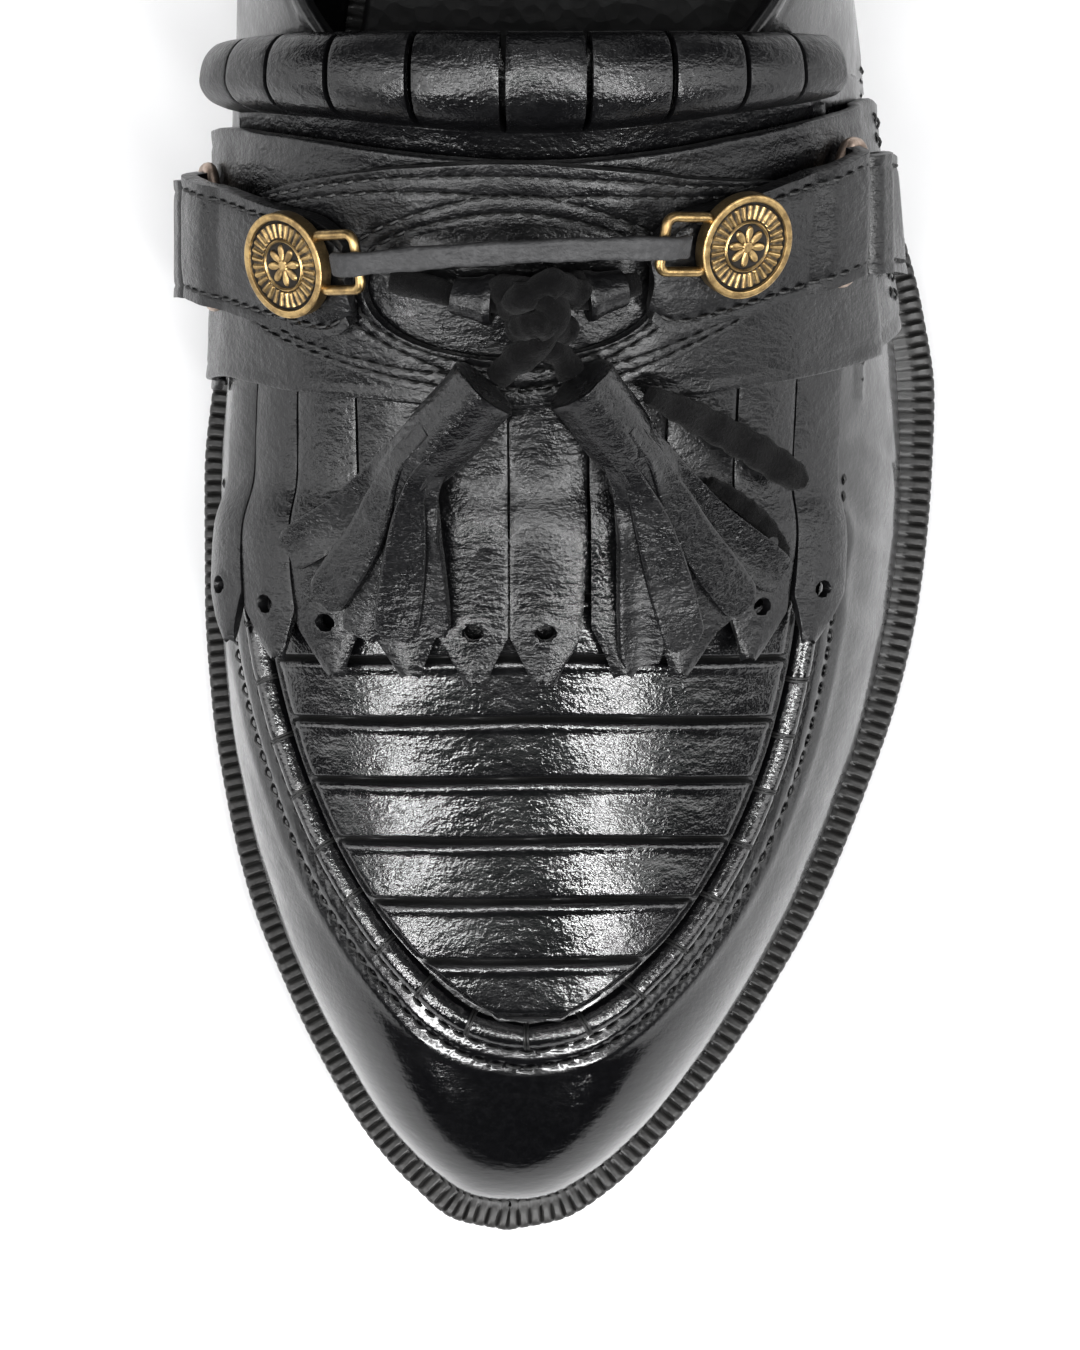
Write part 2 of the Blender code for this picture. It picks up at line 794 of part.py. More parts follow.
def add_roll(collection):
    """The raised roll round the apron: a half-round strip that follows the seam."""
    path = apron_path(47)
    ground = np.array([over(a, c, GAP) for a, c in path])
    above = np.array([over(a, c, GAP + 0.01) for a, c in path])
    side, up = frames_along(ground, (above - ground) / 0.01)
    half = ROLL_WIDTH / 2
    profile = [(-1.0, 0.0), (-0.8, 0.62), (0.0, 1.0), (0.8, 0.62), (1.0, 0.0)]
    rings = [
        [g + s * half * w + u * ROLL_RISE * h for w, h in profile] for g, s, u in zip(ground, side, up)
    ]
    points, faces = loft(np.array(rings))
    return add_object("apron_roll", mesh_of("apron_roll", points, faces), "upper_leather", collection)


def add_panel(collection):
    """The pleated panel inside the roll: bands with a groove between each two, over the vamp."""
    inset = ROLL_WIDTH / 2 + GAP
    front = APRON_FRONT + inset + 0.0004
    rows = [(front, 0.0), (front + 0.004, 0.6)]
    for k in range(PLEAT_COUNT):
        groove = PLEAT_FIRST + k * PLEAT_PITCH
        rows += [
            (groove - PLEAT_GROOVE, 1.0),
            (groove, -1.0),
            (groove + PLEAT_GROOVE, 0.7),
        ]
    across_shares = np.linspace(-1, 1, 11)
    bottom, top = [], []
    for along, swell in rows:
        half = max(apron_half(along) - inset * (1 + 3.0 * math.exp(-(along - APRON_FRONT) / 0.006)), 0.004)
        line = apron_line(along)
        places = [(along, line + half * c) for c in across_shares]
        rise = PANEL_THICK + (PANEL_SWELL * swell) * (1 - across_shares**6)
        bed = GAP * (1 + 1.5 * across_shares**4)
        bottom.append([over(a, c, b) for (a, c), b in zip(places, bed)])
        top.append([over(a, c, GAP + r) for (a, c), r in zip(places, rise)])
    rings = [np.concatenate([b, t[::-1]]) for b, t in zip(np.array(bottom), np.array(top))]
    points = np.concatenate(rings)
    size = len(rings[0])
    faces = grid_faces(len(rings), size, wrap=True)
    for start in (0, (len(rings) - 1) * size):
        for c in range(len(across_shares) - 1):
            faces.append((start + c, start + c + 1, start + size - 2 - c, start + size - 1 - c))
    return add_object("apron_panel", mesh_of("apron_panel", points, faces), "upper_leather", collection)


# Kiltie


def kiltie_lift(along, girth):
    """Height of the kiltie's underside over the skin: on the panel, over the roll, and down at its side edges."""
    along, girth = np.broadcast_arrays(np.asarray(along, float), np.asarray(girth, float))
    spot = on_skin(along, girth)
    reach = np.abs(spot[..., 0] - apron_line(along)) - apron_half(along)
    on_panel = GAP + PANEL_THICK + PANEL_SWELL + GAP
    over_roll = GAP + ROLL_RISE + 2 * GAP
    ahead = 1 / (1 + np.exp((along - ROLL_END - 0.003) / 0.0016))
    hump = np.exp(-((reach / 0.0038) ** 2))
    inside = 1 / (1 + np.exp(reach / 0.0016))
    low = 2 * GAP + (on_panel - GAP) * inside
    return GAP + ahead * (np.maximum(low, hump * over_roll + (1 - hump) * low))


def kiltie_edges(along):
    """Girth shares of the kiltie's medial and lateral edges, wider at the fringe than at the saddle."""
    share = np.asarray(along) / LENGTH
    medial = flowing(share, [0.26, 0.33, 0.42, 0.50, 0.56], [-0.590, -0.620, -0.600, -0.570, -0.560])
    lateral = flowing(share, [0.26, 0.33, 0.42, 0.50, 0.56], [0.520, 0.550, 0.535, 0.500, 0.490])
    return medial, lateral


# Fold at the tongue's edge: how far back from the saddle to the throat as a share, then past it, in metres, and
# rise as a share of FOLD_RISE. The last rows turn back under the fold and lie on the tongue.
FOLD = [
    (0.00, 0.0000, 0.00, "whole"),
    (0.20, 0.0000, 0.30, "whole"),
    (0.40, 0.0000, 0.66, "slit"),
    (0.62, 0.0000, 0.90, "slit"),
    (0.86, 0.0000, 1.00, "slit"),
    (1.00, 0.0012, 0.92, "slit"),
    (1.00, 0.0027, 0.68, "slit"),
    (1.00, 0.0028, 0.47, "slit"),
    (1.00, 0.0014, 0.32, "slit"),
    (1.00, -0.0010, 0.30, "whole"),
    (1.00, -0.0045, 0.30, "whole"),
]


def kiltie_rows():
    """The kiltie's rows from its tips back to the saddle's back edge: a kind, along, and height over its bed."""
    rows = [("point", FRINGE_TIP, 0.0006), ("slit", FRINGE_TIP + FRINGE_POINT, 0.0004)]
    rows += [("slit", a, 0.0002) for a in np.linspace(FRINGE_TIP + 0.014, FRINGE_SLIT_END - 0.002, 4)]
    rows += [("whole", a, 0.0) for a in np.linspace(FRINGE_SLIT_END, 0.1440, 4)]
    return rows


def kiltie_place(row, girth, tip_back):
    """Along and lift of one of the kiltie's rows at a girth; tip_back moves the outer tips back."""
    fringe = kiltie_rows()
    if row < len(fringe):
        kind, along, rise = fringe[row]
        along += tip_back if row < 2 else 0.0
        return along, kiltie_lift(along, girth) + rise
    share, past, rise, _ = FOLD[row - len(fringe)]
    start = flowing(girth, SADDLE["girth"], SADDLE["back"]) + 0.0012
    along = start + (THROAT - start) * share + past
    return along, kiltie_lift(min(along, THROAT), girth) + rise * FOLD_RISE


def add_kiltie(collection):
    """The kiltie: one sheet with pointed strips at its front, and slits across the fold at its back."""
    parts = 2
    kinds = [row[0] for row in kiltie_rows()] + [row[3] for row in FOLD]
    corners, faces, index = [], [], {}

    def corner(row, strip, part):
        """The number of one grid point, which is split in two along a slit."""
        line = strip * parts + part
        split = kinds[row] != "whole" and part in (0, parts) and 0 < line < KILTIE_STRIPS * parts
        key = (row, line, strip if split else -1)
        if key in index:
            return index[key]
        outer = abs(strip + 0.5 - KILTIE_STRIPS / 2) / (KILTIE_STRIPS / 2)
        tip_back = 0.0065 * outer**2
        near = min(kiltie_place(row, 0.0, tip_back)[0], THROAT)
        medial, lateral = kiltie_edges(near)
        girth = medial + (lateral - medial) * line / (KILTIE_STRIPS * parts)
        towards = 1 if part == 0 else -1 if part == parts else 0
        if kinds[row] == "point":
            girth += towards * (lateral - medial) / KILTIE_STRIPS * 0.38
        elif split:
            length = np.linalg.norm(on_skin(near, girth + 0.01) - on_skin(near, girth)) / 0.01
            girth += towards * SLIT_GAP / 2 / length
        along, lift = kiltie_place(row, girth, tip_back)
        index[key] = len(corners)
        corners.append(on_skin(along, girth, lift))
        return index[key]

    for row in range(len(kinds) - 1):
        for strip in range(KILTIE_STRIPS):
            for part in range(parts):
                ring = [(row, part), (row, part + 1), (row + 1, part + 1), (row + 1, part)]
                faces.append(tuple(corner(r, strip, p) for r, p in ring))
    mesh = mesh_of("kiltie", np.array(corners), faces)
    return add_sheet("kiltie", mesh, KILTIE_THICK, "kiltie_leather", collection)


# Saddle


def saddle_lift(along, girth):
    """Height of the saddle's underside: over the kiltie in the middle, down on the upper at the sides."""
    medial, lateral = kiltie_edges(along)
    beyond = np.maximum(medial - girth, girth - lateral)
    down = 1 / (1 + np.exp((beyond - 0.095) / 0.010))
    bed = kiltie_lift(along, np.clip(girth, medial, lateral)) + KILTIE_THICK + LAYER_GAP
    return 2 * GAP + (bed - GAP) * down


def strip_grid(edges, columns, rows, lift):
    """A sheet between two edges given against the girth, as points row by row."""
    girths = np.linspace(edges["girth"][0], edges["girth"][-1], columns)
    front = flowing(girths, edges["girth"], edges["front"])
    back = flowing(girths, edges["girth"], edges["back"])
    points = []
    for share in np.linspace(0, 1, rows):
        along = front + (back - front) * share
        points.append(on_skin(along, girths, lift(along, girths)))
    return np.concatenate(points)


def add_saddle(collection):
    """The saddle: a broad strap over the kiltie, from one side of the upper to the other."""
    points = strip_grid(SADDLE, 27, 4, saddle_lift)
    mesh = mesh_of("saddle", points, grid_faces(4, 27))
    return add_sheet("saddle", mesh, SADDLE_THICK, "strap_leather", collection)


def overlay_lift(along, girth):
    """Height of the overlay's underside."""
    return saddle_lift(along, girth) + SADDLE_THICK + LAYER_GAP


def add_overlay(collection):
    """The eye-shaped overlay on the saddle, with its opening in the middle."""
    count = 40
    turn = np.linspace(0, 2 * math.pi, count, endpoint=False)
    low, high = OVERLAY["girth"][0], OVERLAY["girth"][-1]
    middle, half = (low + high) / 2, (high - low) / 2
    centre_back = (OPENING_FRONT + OPENING_BACK) / 2
    rings = []
    for share in np.linspace(0, 1, 5):
        girth_out = middle + half * np.cos(turn)
        front = flowing(girth_out, OVERLAY["girth"], OVERLAY["front"])
        back = flowing(girth_out, OVERLAY["girth"], OVERLAY["back"])
        rise = np.sign(np.sin(turn)) * np.abs(np.sin(turn)) ** 0.4
        along_out = (front + back) / 2 + (back - front) / 2 * rise
        girth_in = OPENING_MIDDLE + OPENING_GIRTH * np.cos(turn)
        along_in = centre_back + (OPENING_BACK - OPENING_FRONT) / 2 * np.sin(turn)
        girth = girth_in + (girth_out - girth_in) * share
        along = along_in + (along_out - along_in) * share
        rings.append(on_skin(along, girth, overlay_lift(along, girth)))
    mesh = mesh_of("saddle_overlay", np.concatenate(rings), grid_faces(5, count, wrap=True))
    return add_sheet("saddle_overlay", mesh, OVERLAY_THICK, "strap_leather", collection)


def strap_lift(along, girth):
    """Height of a side strap's underside, over the overlay."""
    return overlay_lift(along, girth) + OVERLAY_THICK + LAYER_GAP


def add_side_strap(side, collection):
    """One side strap: it holds its ring's near bar in a turned-down end and has a rounded end at the middle."""
    (ring_along, ring_girth), (end_along, end_girth) = SIDES[side]["ring"], SIDES[side]["end"]
    away = math.copysign(1, ring_girth)
    per_metre = girth_per_metre(ring_along, ring_girth)
    bar = ring_girth - away * (RING_WIDTH - RING_WIRE) / 2 * per_metre
    high = 5 * GAP
    steps = [(end_girth + (bar - end_girth) * t, 0.0) for t in np.linspace(0, 0.72, 8)]
    steps += [(bar - away * 0.0042 * per_metre, 0.9 * high), (bar - away * 0.0015 * per_metre, high)]
    steps += [(bar + away * 0.0010 * per_metre, high), (bar + away * 0.0021 * per_metre, -GAP)]
    rows = []
    for k, (girth, rise) in enumerate(steps):
        share = (girth - end_girth) / (bar - end_girth)
        along = end_along + (ring_along - end_along) * share
        half = SIDE_STRAP_WIDTH / 2 * (1 - 0.42 * max(0.0, 1 - share / 0.22) ** 2)
        places = along + half * np.array([-1.0, 0.0, 1.0])
        rows.append(on_skin(places, girth, strap_lift(places, girth) + rise))
    mesh = mesh_of(f"strap_{side}", np.concatenate(rows), grid_faces(len(rows), 3))
    return add_sheet(f"strap_{side}", mesh, SIDE_STRAP_THICK, "strap_leather", collection)


def girth_per_metre(along, girth):
    """Girth share for each metre round the skin, near a place."""
    return 0.01 / float(np.linalg.norm(on_skin(along, girth + 0.01) - on_skin(along, girth)))


def add_anchor(side, collection):
    """The tab that holds a ring's far bar and is stitched down beyond it."""
    ring_along, ring_girth = SIDES[side]["ring"]
    away = math.copysign(1, ring_girth)
    per_metre = girth_per_metre(ring_along, ring_girth)
    bar = ring_girth + away * (RING_WIDTH - RING_WIRE) / 2 * per_metre
    end = SIDES[side]["anchor"]
    high = RING_WIRE + 4 * GAP
    steps = [(bar - away * 0.0019 * per_metre, 0.70 * high), (bar - away * 0.0010 * per_metre, high)]
    steps += [(bar + away * 0.0012 * per_metre, high), (bar + away * 0.0042 * per_metre, 0.35 * high)]
    steps += [(bar + away * 0.0065 * per_metre, 2 * GAP), ((bar + end) / 2, 2 * GAP), (end, 2 * GAP)]
    half = SIDE_STRAP_WIDTH / 2 * 0.96
    rows = []
    for girth, rise in steps:
        places = ring_along + half * np.array([-1.0, 0.0, 1.0])
        rows.append(on_skin(places, girth, overlay_lift(places, girth) + rise))
    mesh = mesh_of(f"anchor_{side}", np.concatenate(rows), grid_faces(len(rows), 3))
    return add_sheet(f"anchor_{side}", mesh, ANCHOR_THICK, "strap_leather", collection)


# Hardware


def spot(along, across, lift):
    """The point at a height over the skin that is seen from above at a place, with the skin's directions there."""
    girths = np.linspace(-0.95, 0.95, 381)
    station = along
    for _ in range(6):
        row = on_skin(station, girths, lift)
        girth = float(np.interp(across, np.maximum.accumulate(row[:, 0]), girths))
        station += along - float(on_skin(station, girth, lift)[1])
    point = on_skin(station, girth, lift)
    up = (on_skin(station, girth, lift + 0.001) - point) / 0.001
    around = on_skin(station, girth + 0.005) - on_skin(station, girth - 0.005)
    around -= up * around.dot(up)
    return point, up / np.linalg.norm(up), around / np.linalg.norm(around), girth


def placed(point, across, up):
    """A matrix that puts a flat part, drawn in its own X and Y, at a shoe place."""
    forward = np.cross(up, across)
    matrix = np.eye(4)
    for k, column in enumerate((across, forward, up, to_world(point))):
        matrix[:3, k] = column
    return Matrix(matrix.tolist())


def solid(name, build, matrix, material, collection):
    """A named solid that a bmesh function draws in its own frame."""
    made = bmesh.new()
    build(made)
    bmesh.ops.transform(made, matrix=matrix, verts=made.verts)
    bmesh.ops.recalc_face_normals(made, faces=made.faces)
    mesh = bpy.data.meshes.new(name)
    made.to_mesh(mesh)
    made.free()
    mesh.shade_smooth()
    mesh.set_sharp_from_angle(angle=math.radians(35))
    return add_object(name, mesh, material, collection)


def medallion_shape(made):
    """A disc with a bevelled rim."""
    levels = [(0.93, 0.0), (1.0, 0.15), (1.0, 0.80), (0.93, 1.0)]
    rings = []
    for scale, height in levels:
        turn = np.linspace(0, 2 * math.pi, 32, endpoint=False)
        reach = MEDALLION_RADIUS * scale
        rings.append(
            [made.verts.new((reach * math.cos(t), reach * math.sin(t), MEDALLION_THICK * height)) for t in turn]
        )
    for low, high in zip(rings, rings[1:]):
        for k in range(32):
            made.faces.new([low[k], low[(k + 1) % 32], high[(k + 1) % 32], high[k]])
    made.faces.new(rings[0][::-1])
    made.faces.new(rings[-1])


def loop_shape(towards):
    """A rectangular frame beside the disc, towards -1 or 1 along its own X."""

    def build(made):
        near, far = MEDALLION_RADIUS * 0.62, MEDALLION_RADIUS + LOOP_LENGTH - LOOP_BAR
        half = LOOP_WIDTH / 2
        outer = [(near, -half), (far + LOOP_BAR, -half), (far + LOOP_BAR, half), (near, half)]
        inner = [
            (near + LOOP_BAR, -half + LOOP_BAR),
            (far, -half + LOOP_BAR),
            (far, half - LOOP_BAR),
            (near + LOOP_BAR, half - LOOP_BAR),
        ]
        levels = []
        for height in (0.25 * LOOP_THICK, 1.25 * LOOP_THICK):
            levels.append(
                [[made.verts.new((towards * x, y, height)) for x, y in line] for line in (outer, inner)]
            )
        (low_out, low_in), (high_out, high_in) = levels
        for k in range(4):
            n = (k + 1) % 4
            made.faces.new([low_out[k], low_out[n], high_out[n], high_out[k]])
            made.faces.new([low_in[k], high_in[k], high_in[n], low_in[n]])
            made.faces.new([high_out[k], high_out[n], high_in[n], high_in[k]])
            made.faces.new([low_out[k], low_in[k], low_in[n], low_out[n]])

    return build


def medallion_lift(along, across):
    """Height of a medallion's underside over the skin: just clear of its strap."""
    girth = girth_at(along, across)
    return float(strap_lift(along, girth)) + SIDE_STRAP_THICK + 2 * GAP


def add_medallion(side, collection):
    """A round medallion and its rectangular loop, fused."""
    along, across = SIDES[side]["medallion"]
    point, up, around, _ = spot(along, across, medallion_lift(along, across))
    matrix = placed(point, around, up)
    towards = 1 if side == "medial" else -1
    disc = solid(f"medallion_{side}", medallion_shape, matrix, "antique_brass", collection)
    loop = solid("loop", loop_shape(towards), matrix, "antique_brass", collection)
    return union(disc, loop)


def add_tube(name, points, radius, material, collection, closed=False):
    """A round wire or cord through world points."""
    curve = bpy.data.curves.new(name, "CURVE")
    curve.dimensions = "3D"
    curve.bevel_depth = radius
    curve.bevel_resolution = 1
    curve.use_fill_caps = not closed
    line = curve.splines.new("POLY")
    line.points.add(len(points) - 1)
    for spot_on, place in zip(line.points, points):
        spot_on.co = (*place, 1)
    line.use_cyclic_u = closed
    line.use_smooth = True
    curve.materials.append(finish(material))
    piece = bpy.data.objects.new(name, curve)
    collection.objects.link(piece)
    return piece


def add_ring(side, collection):
    """An oval wire ring that lies on the saddle under the two strap ends."""
    along, girth = SIDES[side]["ring"]
    lift = float(saddle_lift(along, girth)) + SADDLE_THICK + RING_WIRE / 2 + 1.5 * GAP
    centre = on_skin(along, girth, lift)
    up = on_skin(along, girth, lift + 0.001) - centre
    up /= np.linalg.norm(up)
    around = on_skin(along, girth + 0.005) - on_skin(along, girth - 0.005)
    around -= up * around.dot(up)
    around /= np.linalg.norm(around)
    ahead = np.cross(up, around)
    length, width = (RING_LENGTH - RING_WIRE) / 2, (RING_WIDTH - RING_WIRE) / 2
    turn = np.linspace(0, 2 * math.pi, 20, endpoint=False)
    oval = [
        centre
        + ahead * length * math.copysign(abs(math.sin(t)) ** 0.75, math.sin(t))
        + around * width * math.copysign(abs(math.cos(t)) ** 0.75, math.cos(t))
        for t in turn
    ]
    return add_tube(f"ring_{side}", to_world(oval), RING_WIRE / 2, "aged_bronze", collection, closed=True)


# Cord, sleeves and tassels


def ribbon(name, path, ups, widths, thick, material, collection):
    """A flat strip through places, its broad face towards the ups."""
    side, up = frames_along(path, ups)
    corners = [(-0.5, -0.5), (0.5, -0.5), (0.5, 0.5), (-0.5, 0.5)]
    rings = [
        [p + s * width * a + u * thick * b for a, b in corners] for p, s, u, width in zip(path, side, up, widths)
    ]
    points, faces = loft(np.array(rings))
    return add_object(name, mesh_of(name, points, faces), material, collection)


def lifted(rows):
    """Points and ups for rows of along, across and lift."""
    found = [spot(*row) for row in rows]
    return np.array([f[0] for f in found]), np.array([f[1] for f in found])


def through(rows, count):
    """More rows along a smooth line through the given rows."""
    rows = np.array(rows, float)
    at = np.concatenate([[0], np.cumsum(np.linalg.norm(np.diff(rows, axis=0), axis=1))])
    fine = np.linspace(0, at[-1], count)
    return np.stack([flowing(fine, at, rows[:, k]) for k in range(rows.shape[1])], 1)


def add_thong(collection):
    """The thin strap between the two loops, each end dipping into its loop."""
    ends = []
    for side, towards in (("medial", 1), ("lateral", -1)):
        along, across = SIDES[side]["medallion"]
        point, up, around, _ = spot(along, across, medallion_lift(along, across))
        bar = MEDALLION_RADIUS + LOOP_LENGTH - LOOP_BAR / 2
        top = 1.25 * LOOP_THICK + THONG_THICK / 2 + 2 * GAP
        over_bar = point + around * towards * bar + up * top
        ends.append((over_bar - around * towards * 0.0026 - up * 0.0006, over_bar, up))
    (start, first, up_start), (finish_at, last, up_end) = ends
    middle, up_middle, _, _ = spot(0.1343, -0.0035, 0.0128)
    rows = [start, first]
    for t in np.linspace(0, 1, 9)[1:-1]:
        straight = first * (1 - t) + last * t
        belly = middle - (first + last) / 2
        rows.append(straight + belly * (1 - (2 * t - 1) ** 2))
    rows += [last, finish_at]
    blend = np.linspace(0, 1, len(rows))[:, None]
    ups = up_start * (1 - blend) ** 2 + 2 * up_middle * blend * (1 - blend) + up_end * blend**2
    widths = [THONG_WIDTH] * len(rows)
    return ribbon("thong", np.array(rows), ups, widths, THONG_THICK, "strap_leather", collection)


def tube_mesh(name, points, radius, material, collection, sides=7):
    """A round cord as a closed mesh through shoe places, for joining to others."""
    ahead = np.gradient(points, axis=0)
    ahead /= np.linalg.norm(ahead, axis=1, keepdims=True)
    side, up = frames_along(points, np.tile([0.0, 0.0, 1.0], (len(points), 1)))
    turn = np.linspace(0, 2 * math.pi, sides, endpoint=False)
    radii = np.broadcast_to(radius, len(points))
    rings = [
        [p + r * (s * math.cos(t) + u * math.sin(t)) for t in turn] for p, s, u, r in zip(points, side, up, radii)
    ]
    cells, faces = loft(np.array(rings))
    return add_object(name, mesh_of(name, cells, faces), material, collection)


def add_knot(collection):
    """The suede cord with its knot and the two legs down to the tassels, fused."""
    line, _ = lifted(through(CORD_LINE, 10))
    knot = tube_mesh("knot", line, CORD_RADIUS, "suede", collection)
    for rows in LEGS.values():
        points, _ = lifted(through(rows, 4))
        knot = union(knot, tube_mesh("leg", points, LEG_RADIUS, "suede", collection))
    for along, across, lift, wide, deep, high in KNOT_LUMPS:
        point, up, around, _ = spot(along, across, lift)
        matrix = placed(point, around, up) @ Matrix.Diagonal((wide, deep, high, 1))

        def ball(made):
            """A round lump, which the matrix stretches."""
            bmesh.ops.create_uvsphere(made, u_segments=10, v_segments=6, radius=1)

        knot = union(knot, solid("lump", ball, matrix, "suede", collection))
    return knot


def add_sleeve(side, collection):
    """A leather sleeve round the cord, flared towards the knot."""
    near, far = ((-0.0068, -0.0118) if side == "medial" else (0.0052, 0.0102))
    line = np.array(CORD_LINE)
    order = np.argsort(line[:, 1])
    rows = []
    for across in np.linspace(near, far, 4):
        along, lift = (float(flowing(across, line[order, 1], line[order, k])) for k in (0, 2))
        rows.append((along, across, lift))
    path, ups = lifted(rows)
    side_way, up = frames_along(path, ups)
    turn = np.linspace(0, 2 * math.pi, 10, endpoint=False)
    outer = [0.0034, 0.0032, 0.0027, 0.0024]
    inner = [CORD_RADIUS + GAP] * 4
    rings = []
    for reach, order_of in ((outer, range(4)), (inner, range(3, -1, -1))):
        for k in order_of:
            rings.append(
                [path[k] + reach[k] * (side_way[k] * math.cos(t) + up[k] * math.sin(t)) for t in turn]
            )
    rings.append(rings[0])
    points = np.concatenate(np.array(rings))
    mesh = mesh_of(f"sleeve_{side}", points, grid_faces(len(rings), 10, wrap=True))
    return add_object(f"sleeve_{side}", mesh, "strap_leather", collection)


def clear_of(along, across, extra):
    """Height over the skin that clears the kiltie and the saddle's front edge by extra."""
    girth = girth_at(along, across)
    base = float(kiltie_lift(along, girth)) + KILTIE_THICK
    saddle = float(overlay_lift(along, girth)) + OVERLAY_THICK
    edge = float(flowing(girth, SADDLE["girth"], SADDLE["front"]))
    on_saddle = 1 / (1 + math.exp(-(along - edge + 0.0012) / 0.0005))
    return base + (saddle - base) * on_saddle + extra


def add_tassel(side, collection):
    """A tassel: a rolled head with its strips fused on and fanned out over the kiltie."""
    plan = TASSELS[side]
    (top_along, top_across), (neck_along, neck_across) = plan["top"], plan["neck"]
    top_lift = clear_of(top_along, top_across, TASSEL_HEAD_RADIUS + 0.0022)
    neck_lift = clear_of(neck_along, neck_across, TASSEL_HEAD_RADIUS + 0.0012)
    axis, _ = lifted([(top_along, top_across, top_lift), (neck_along, neck_across, neck_lift)])
    shares = np.array([0.0, 0.08, 0.5, 0.95, 1.15])
    head_line = axis[0] + (axis[1] - axis[0]) * shares[:, None]
    scales = np.array([0.90, 1.0, 1.02, 1.0, 0.72])
    radii = TASSEL_HEAD_RADIUS * scales
    tassel = tube_mesh(f"tassel_{side}", head_line, radii, "strap_leather", collection, sides=12)
    count = len(plan["ends"])
    for k, (end_along, end_across) in enumerate(plan["ends"]):
        spread = (k - (count - 1) / 2) / (count - 1) * 1.5
        across_head = np.cross(axis[1] - axis[0], [0, 0, 1.0])
        across_head /= np.linalg.norm(across_head)
        if side == "lateral":
            across_head = -across_head
        root = axis[0] + (axis[1] - axis[0]) * (0.70 + 0.017 * k)
        root -= across_head * TASSEL_HEAD_RADIUS * spread * 0.72
        root[2] += 0.0014 * (1 - abs(spread))
        middle_along = (end_along + neck_along) / 2
        middle_across = (end_across + neck_across) / 2
        stack = 0.0019 if k % 2 else 0.0002 + 0.0002 * k
        middle, middle_up, _, _ = spot(
            middle_along, middle_across, clear_of(middle_along, middle_across, 0.0026 + stack)
        )
        end, end_up, _, _ = spot(end_along, end_across, clear_of(end_along, end_across, 0.0013 + stack / 2))
        t = np.linspace(0, 1, 7)[:, None]
        control = 2 * middle - (root + end) / 2
        path = root * (1 - t) ** 2 + 2 * control * t * (1 - t) + end * t**2
        ups = middle_up * (1 - t) + end_up * t
        widths = TASSEL_STRIP_WIDTH * np.array([0.72, 0.85, 0.95, 1.0, 1.05, 1.05, 0.90])
        thick = TASSEL_STRIP_THICK * (1 + 0.05 * k)
        strip = ribbon("strip", path, ups, widths, thick, "strap_leather", collection)
        tassel = union(tassel, strip)
    return tassel


def add_cord_end(name, collection):
    """One free suede end."""
    rows = through(CORD_ENDS[name], 8)
    path, ups = lifted(rows)
    widths = CORD_END_WIDTH * np.array([0.55, 0.85, 1.0, 1.05, 1.05, 1.0, 0.95, 0.8])
    return ribbon(f"cord_end_{name}", path, ups, widths, CORD_END_THICK, "suede", collection)


def main():
    """Builds every piece of the shoe."""
    for old in list(bpy.data.objects):
        bpy.data.objects.remove(old)
    shoe = bpy.data.collections.new("kiltie_loafer")
    bpy.context.scene.collection.children.link(shoe)
    add_sole(shoe)
    add_upper(shoe)
    add_roll(shoe)
    add_panel(shoe)
    add_kiltie(shoe)
    add_saddle(shoe)
    add_overlay(shoe)
    for side in SIDES:
        add_side_strap(side, shoe)
        add_anchor(side, shoe)
        add_ring(side, shoe)
        add_medallion(side, shoe)
        add_sleeve(side, shoe)
        add_tassel(side, shoe)
    add_thong(shoe)
    add_knot(shoe)
    for name in CORD_ENDS:
        add_cord_end(name, shoe)


main()
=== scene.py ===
"""Looks of the left kiltie loafer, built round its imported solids.

Metres, +Z up, toe towards -Y, outer side towards +X. Places on the shoe are (along, across, lift): along from the toe
tip, across from the toe's own line, lift over the upper's outer face. Girth runs round the upper from the medial
lower edge (-1) over the top (0) to the lateral lower edge (1).
"""

import logging
import math
from dataclasses import dataclass, field
from enum import Enum
from typing import Callable, Mapping, Sequence

import bmesh
import bpy
import numpy as np
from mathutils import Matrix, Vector


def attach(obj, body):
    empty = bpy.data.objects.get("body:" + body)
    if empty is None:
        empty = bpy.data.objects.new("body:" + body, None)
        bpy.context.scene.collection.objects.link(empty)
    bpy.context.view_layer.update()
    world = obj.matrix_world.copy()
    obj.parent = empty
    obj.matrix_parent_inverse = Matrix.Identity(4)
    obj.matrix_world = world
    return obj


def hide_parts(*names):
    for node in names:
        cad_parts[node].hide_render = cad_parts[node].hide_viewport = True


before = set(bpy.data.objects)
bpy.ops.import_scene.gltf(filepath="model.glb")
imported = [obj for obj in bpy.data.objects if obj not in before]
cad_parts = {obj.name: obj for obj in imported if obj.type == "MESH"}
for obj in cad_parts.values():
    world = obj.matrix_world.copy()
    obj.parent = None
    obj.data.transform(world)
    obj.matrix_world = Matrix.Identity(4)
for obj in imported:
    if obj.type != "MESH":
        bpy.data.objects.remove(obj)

LOG = logging.getLogger("loafer")
Array = np.ndarray
Colour = tuple[float, float, float]
SPREAD = 0.088  # metres for a girth share of 1 over the kiltie and the straps
SWELL = 0.09  # the same, as the leather's small unevenness is laid out


class Side(Enum):
    """The two sides of the shoe, with the sign of their place across."""

    MEDIAL = -1
    LATERAL = 1

    @property
    def word(self) -> str:
        """The side's name as the nodes spell it."""
        return self.name.lower()


def table(columns: str, rows: Sequence[Sequence[float]]) -> dict[str, Array]:
    """A short table as one array for each named column.

    Args:
        columns: The columns' names, with spaces between.
        rows: One sequence of numbers for each row.

    Returns:
        The arrays by column name.
    """
    return dict(zip(columns.split(), np.array(rows, float).T))


def kept_table(columns: str, *rows: Sequence[float]) -> dict[str, Array]:
    """A dataclass field that holds a short table."""
    return field(default_factory=lambda: table(columns, rows))


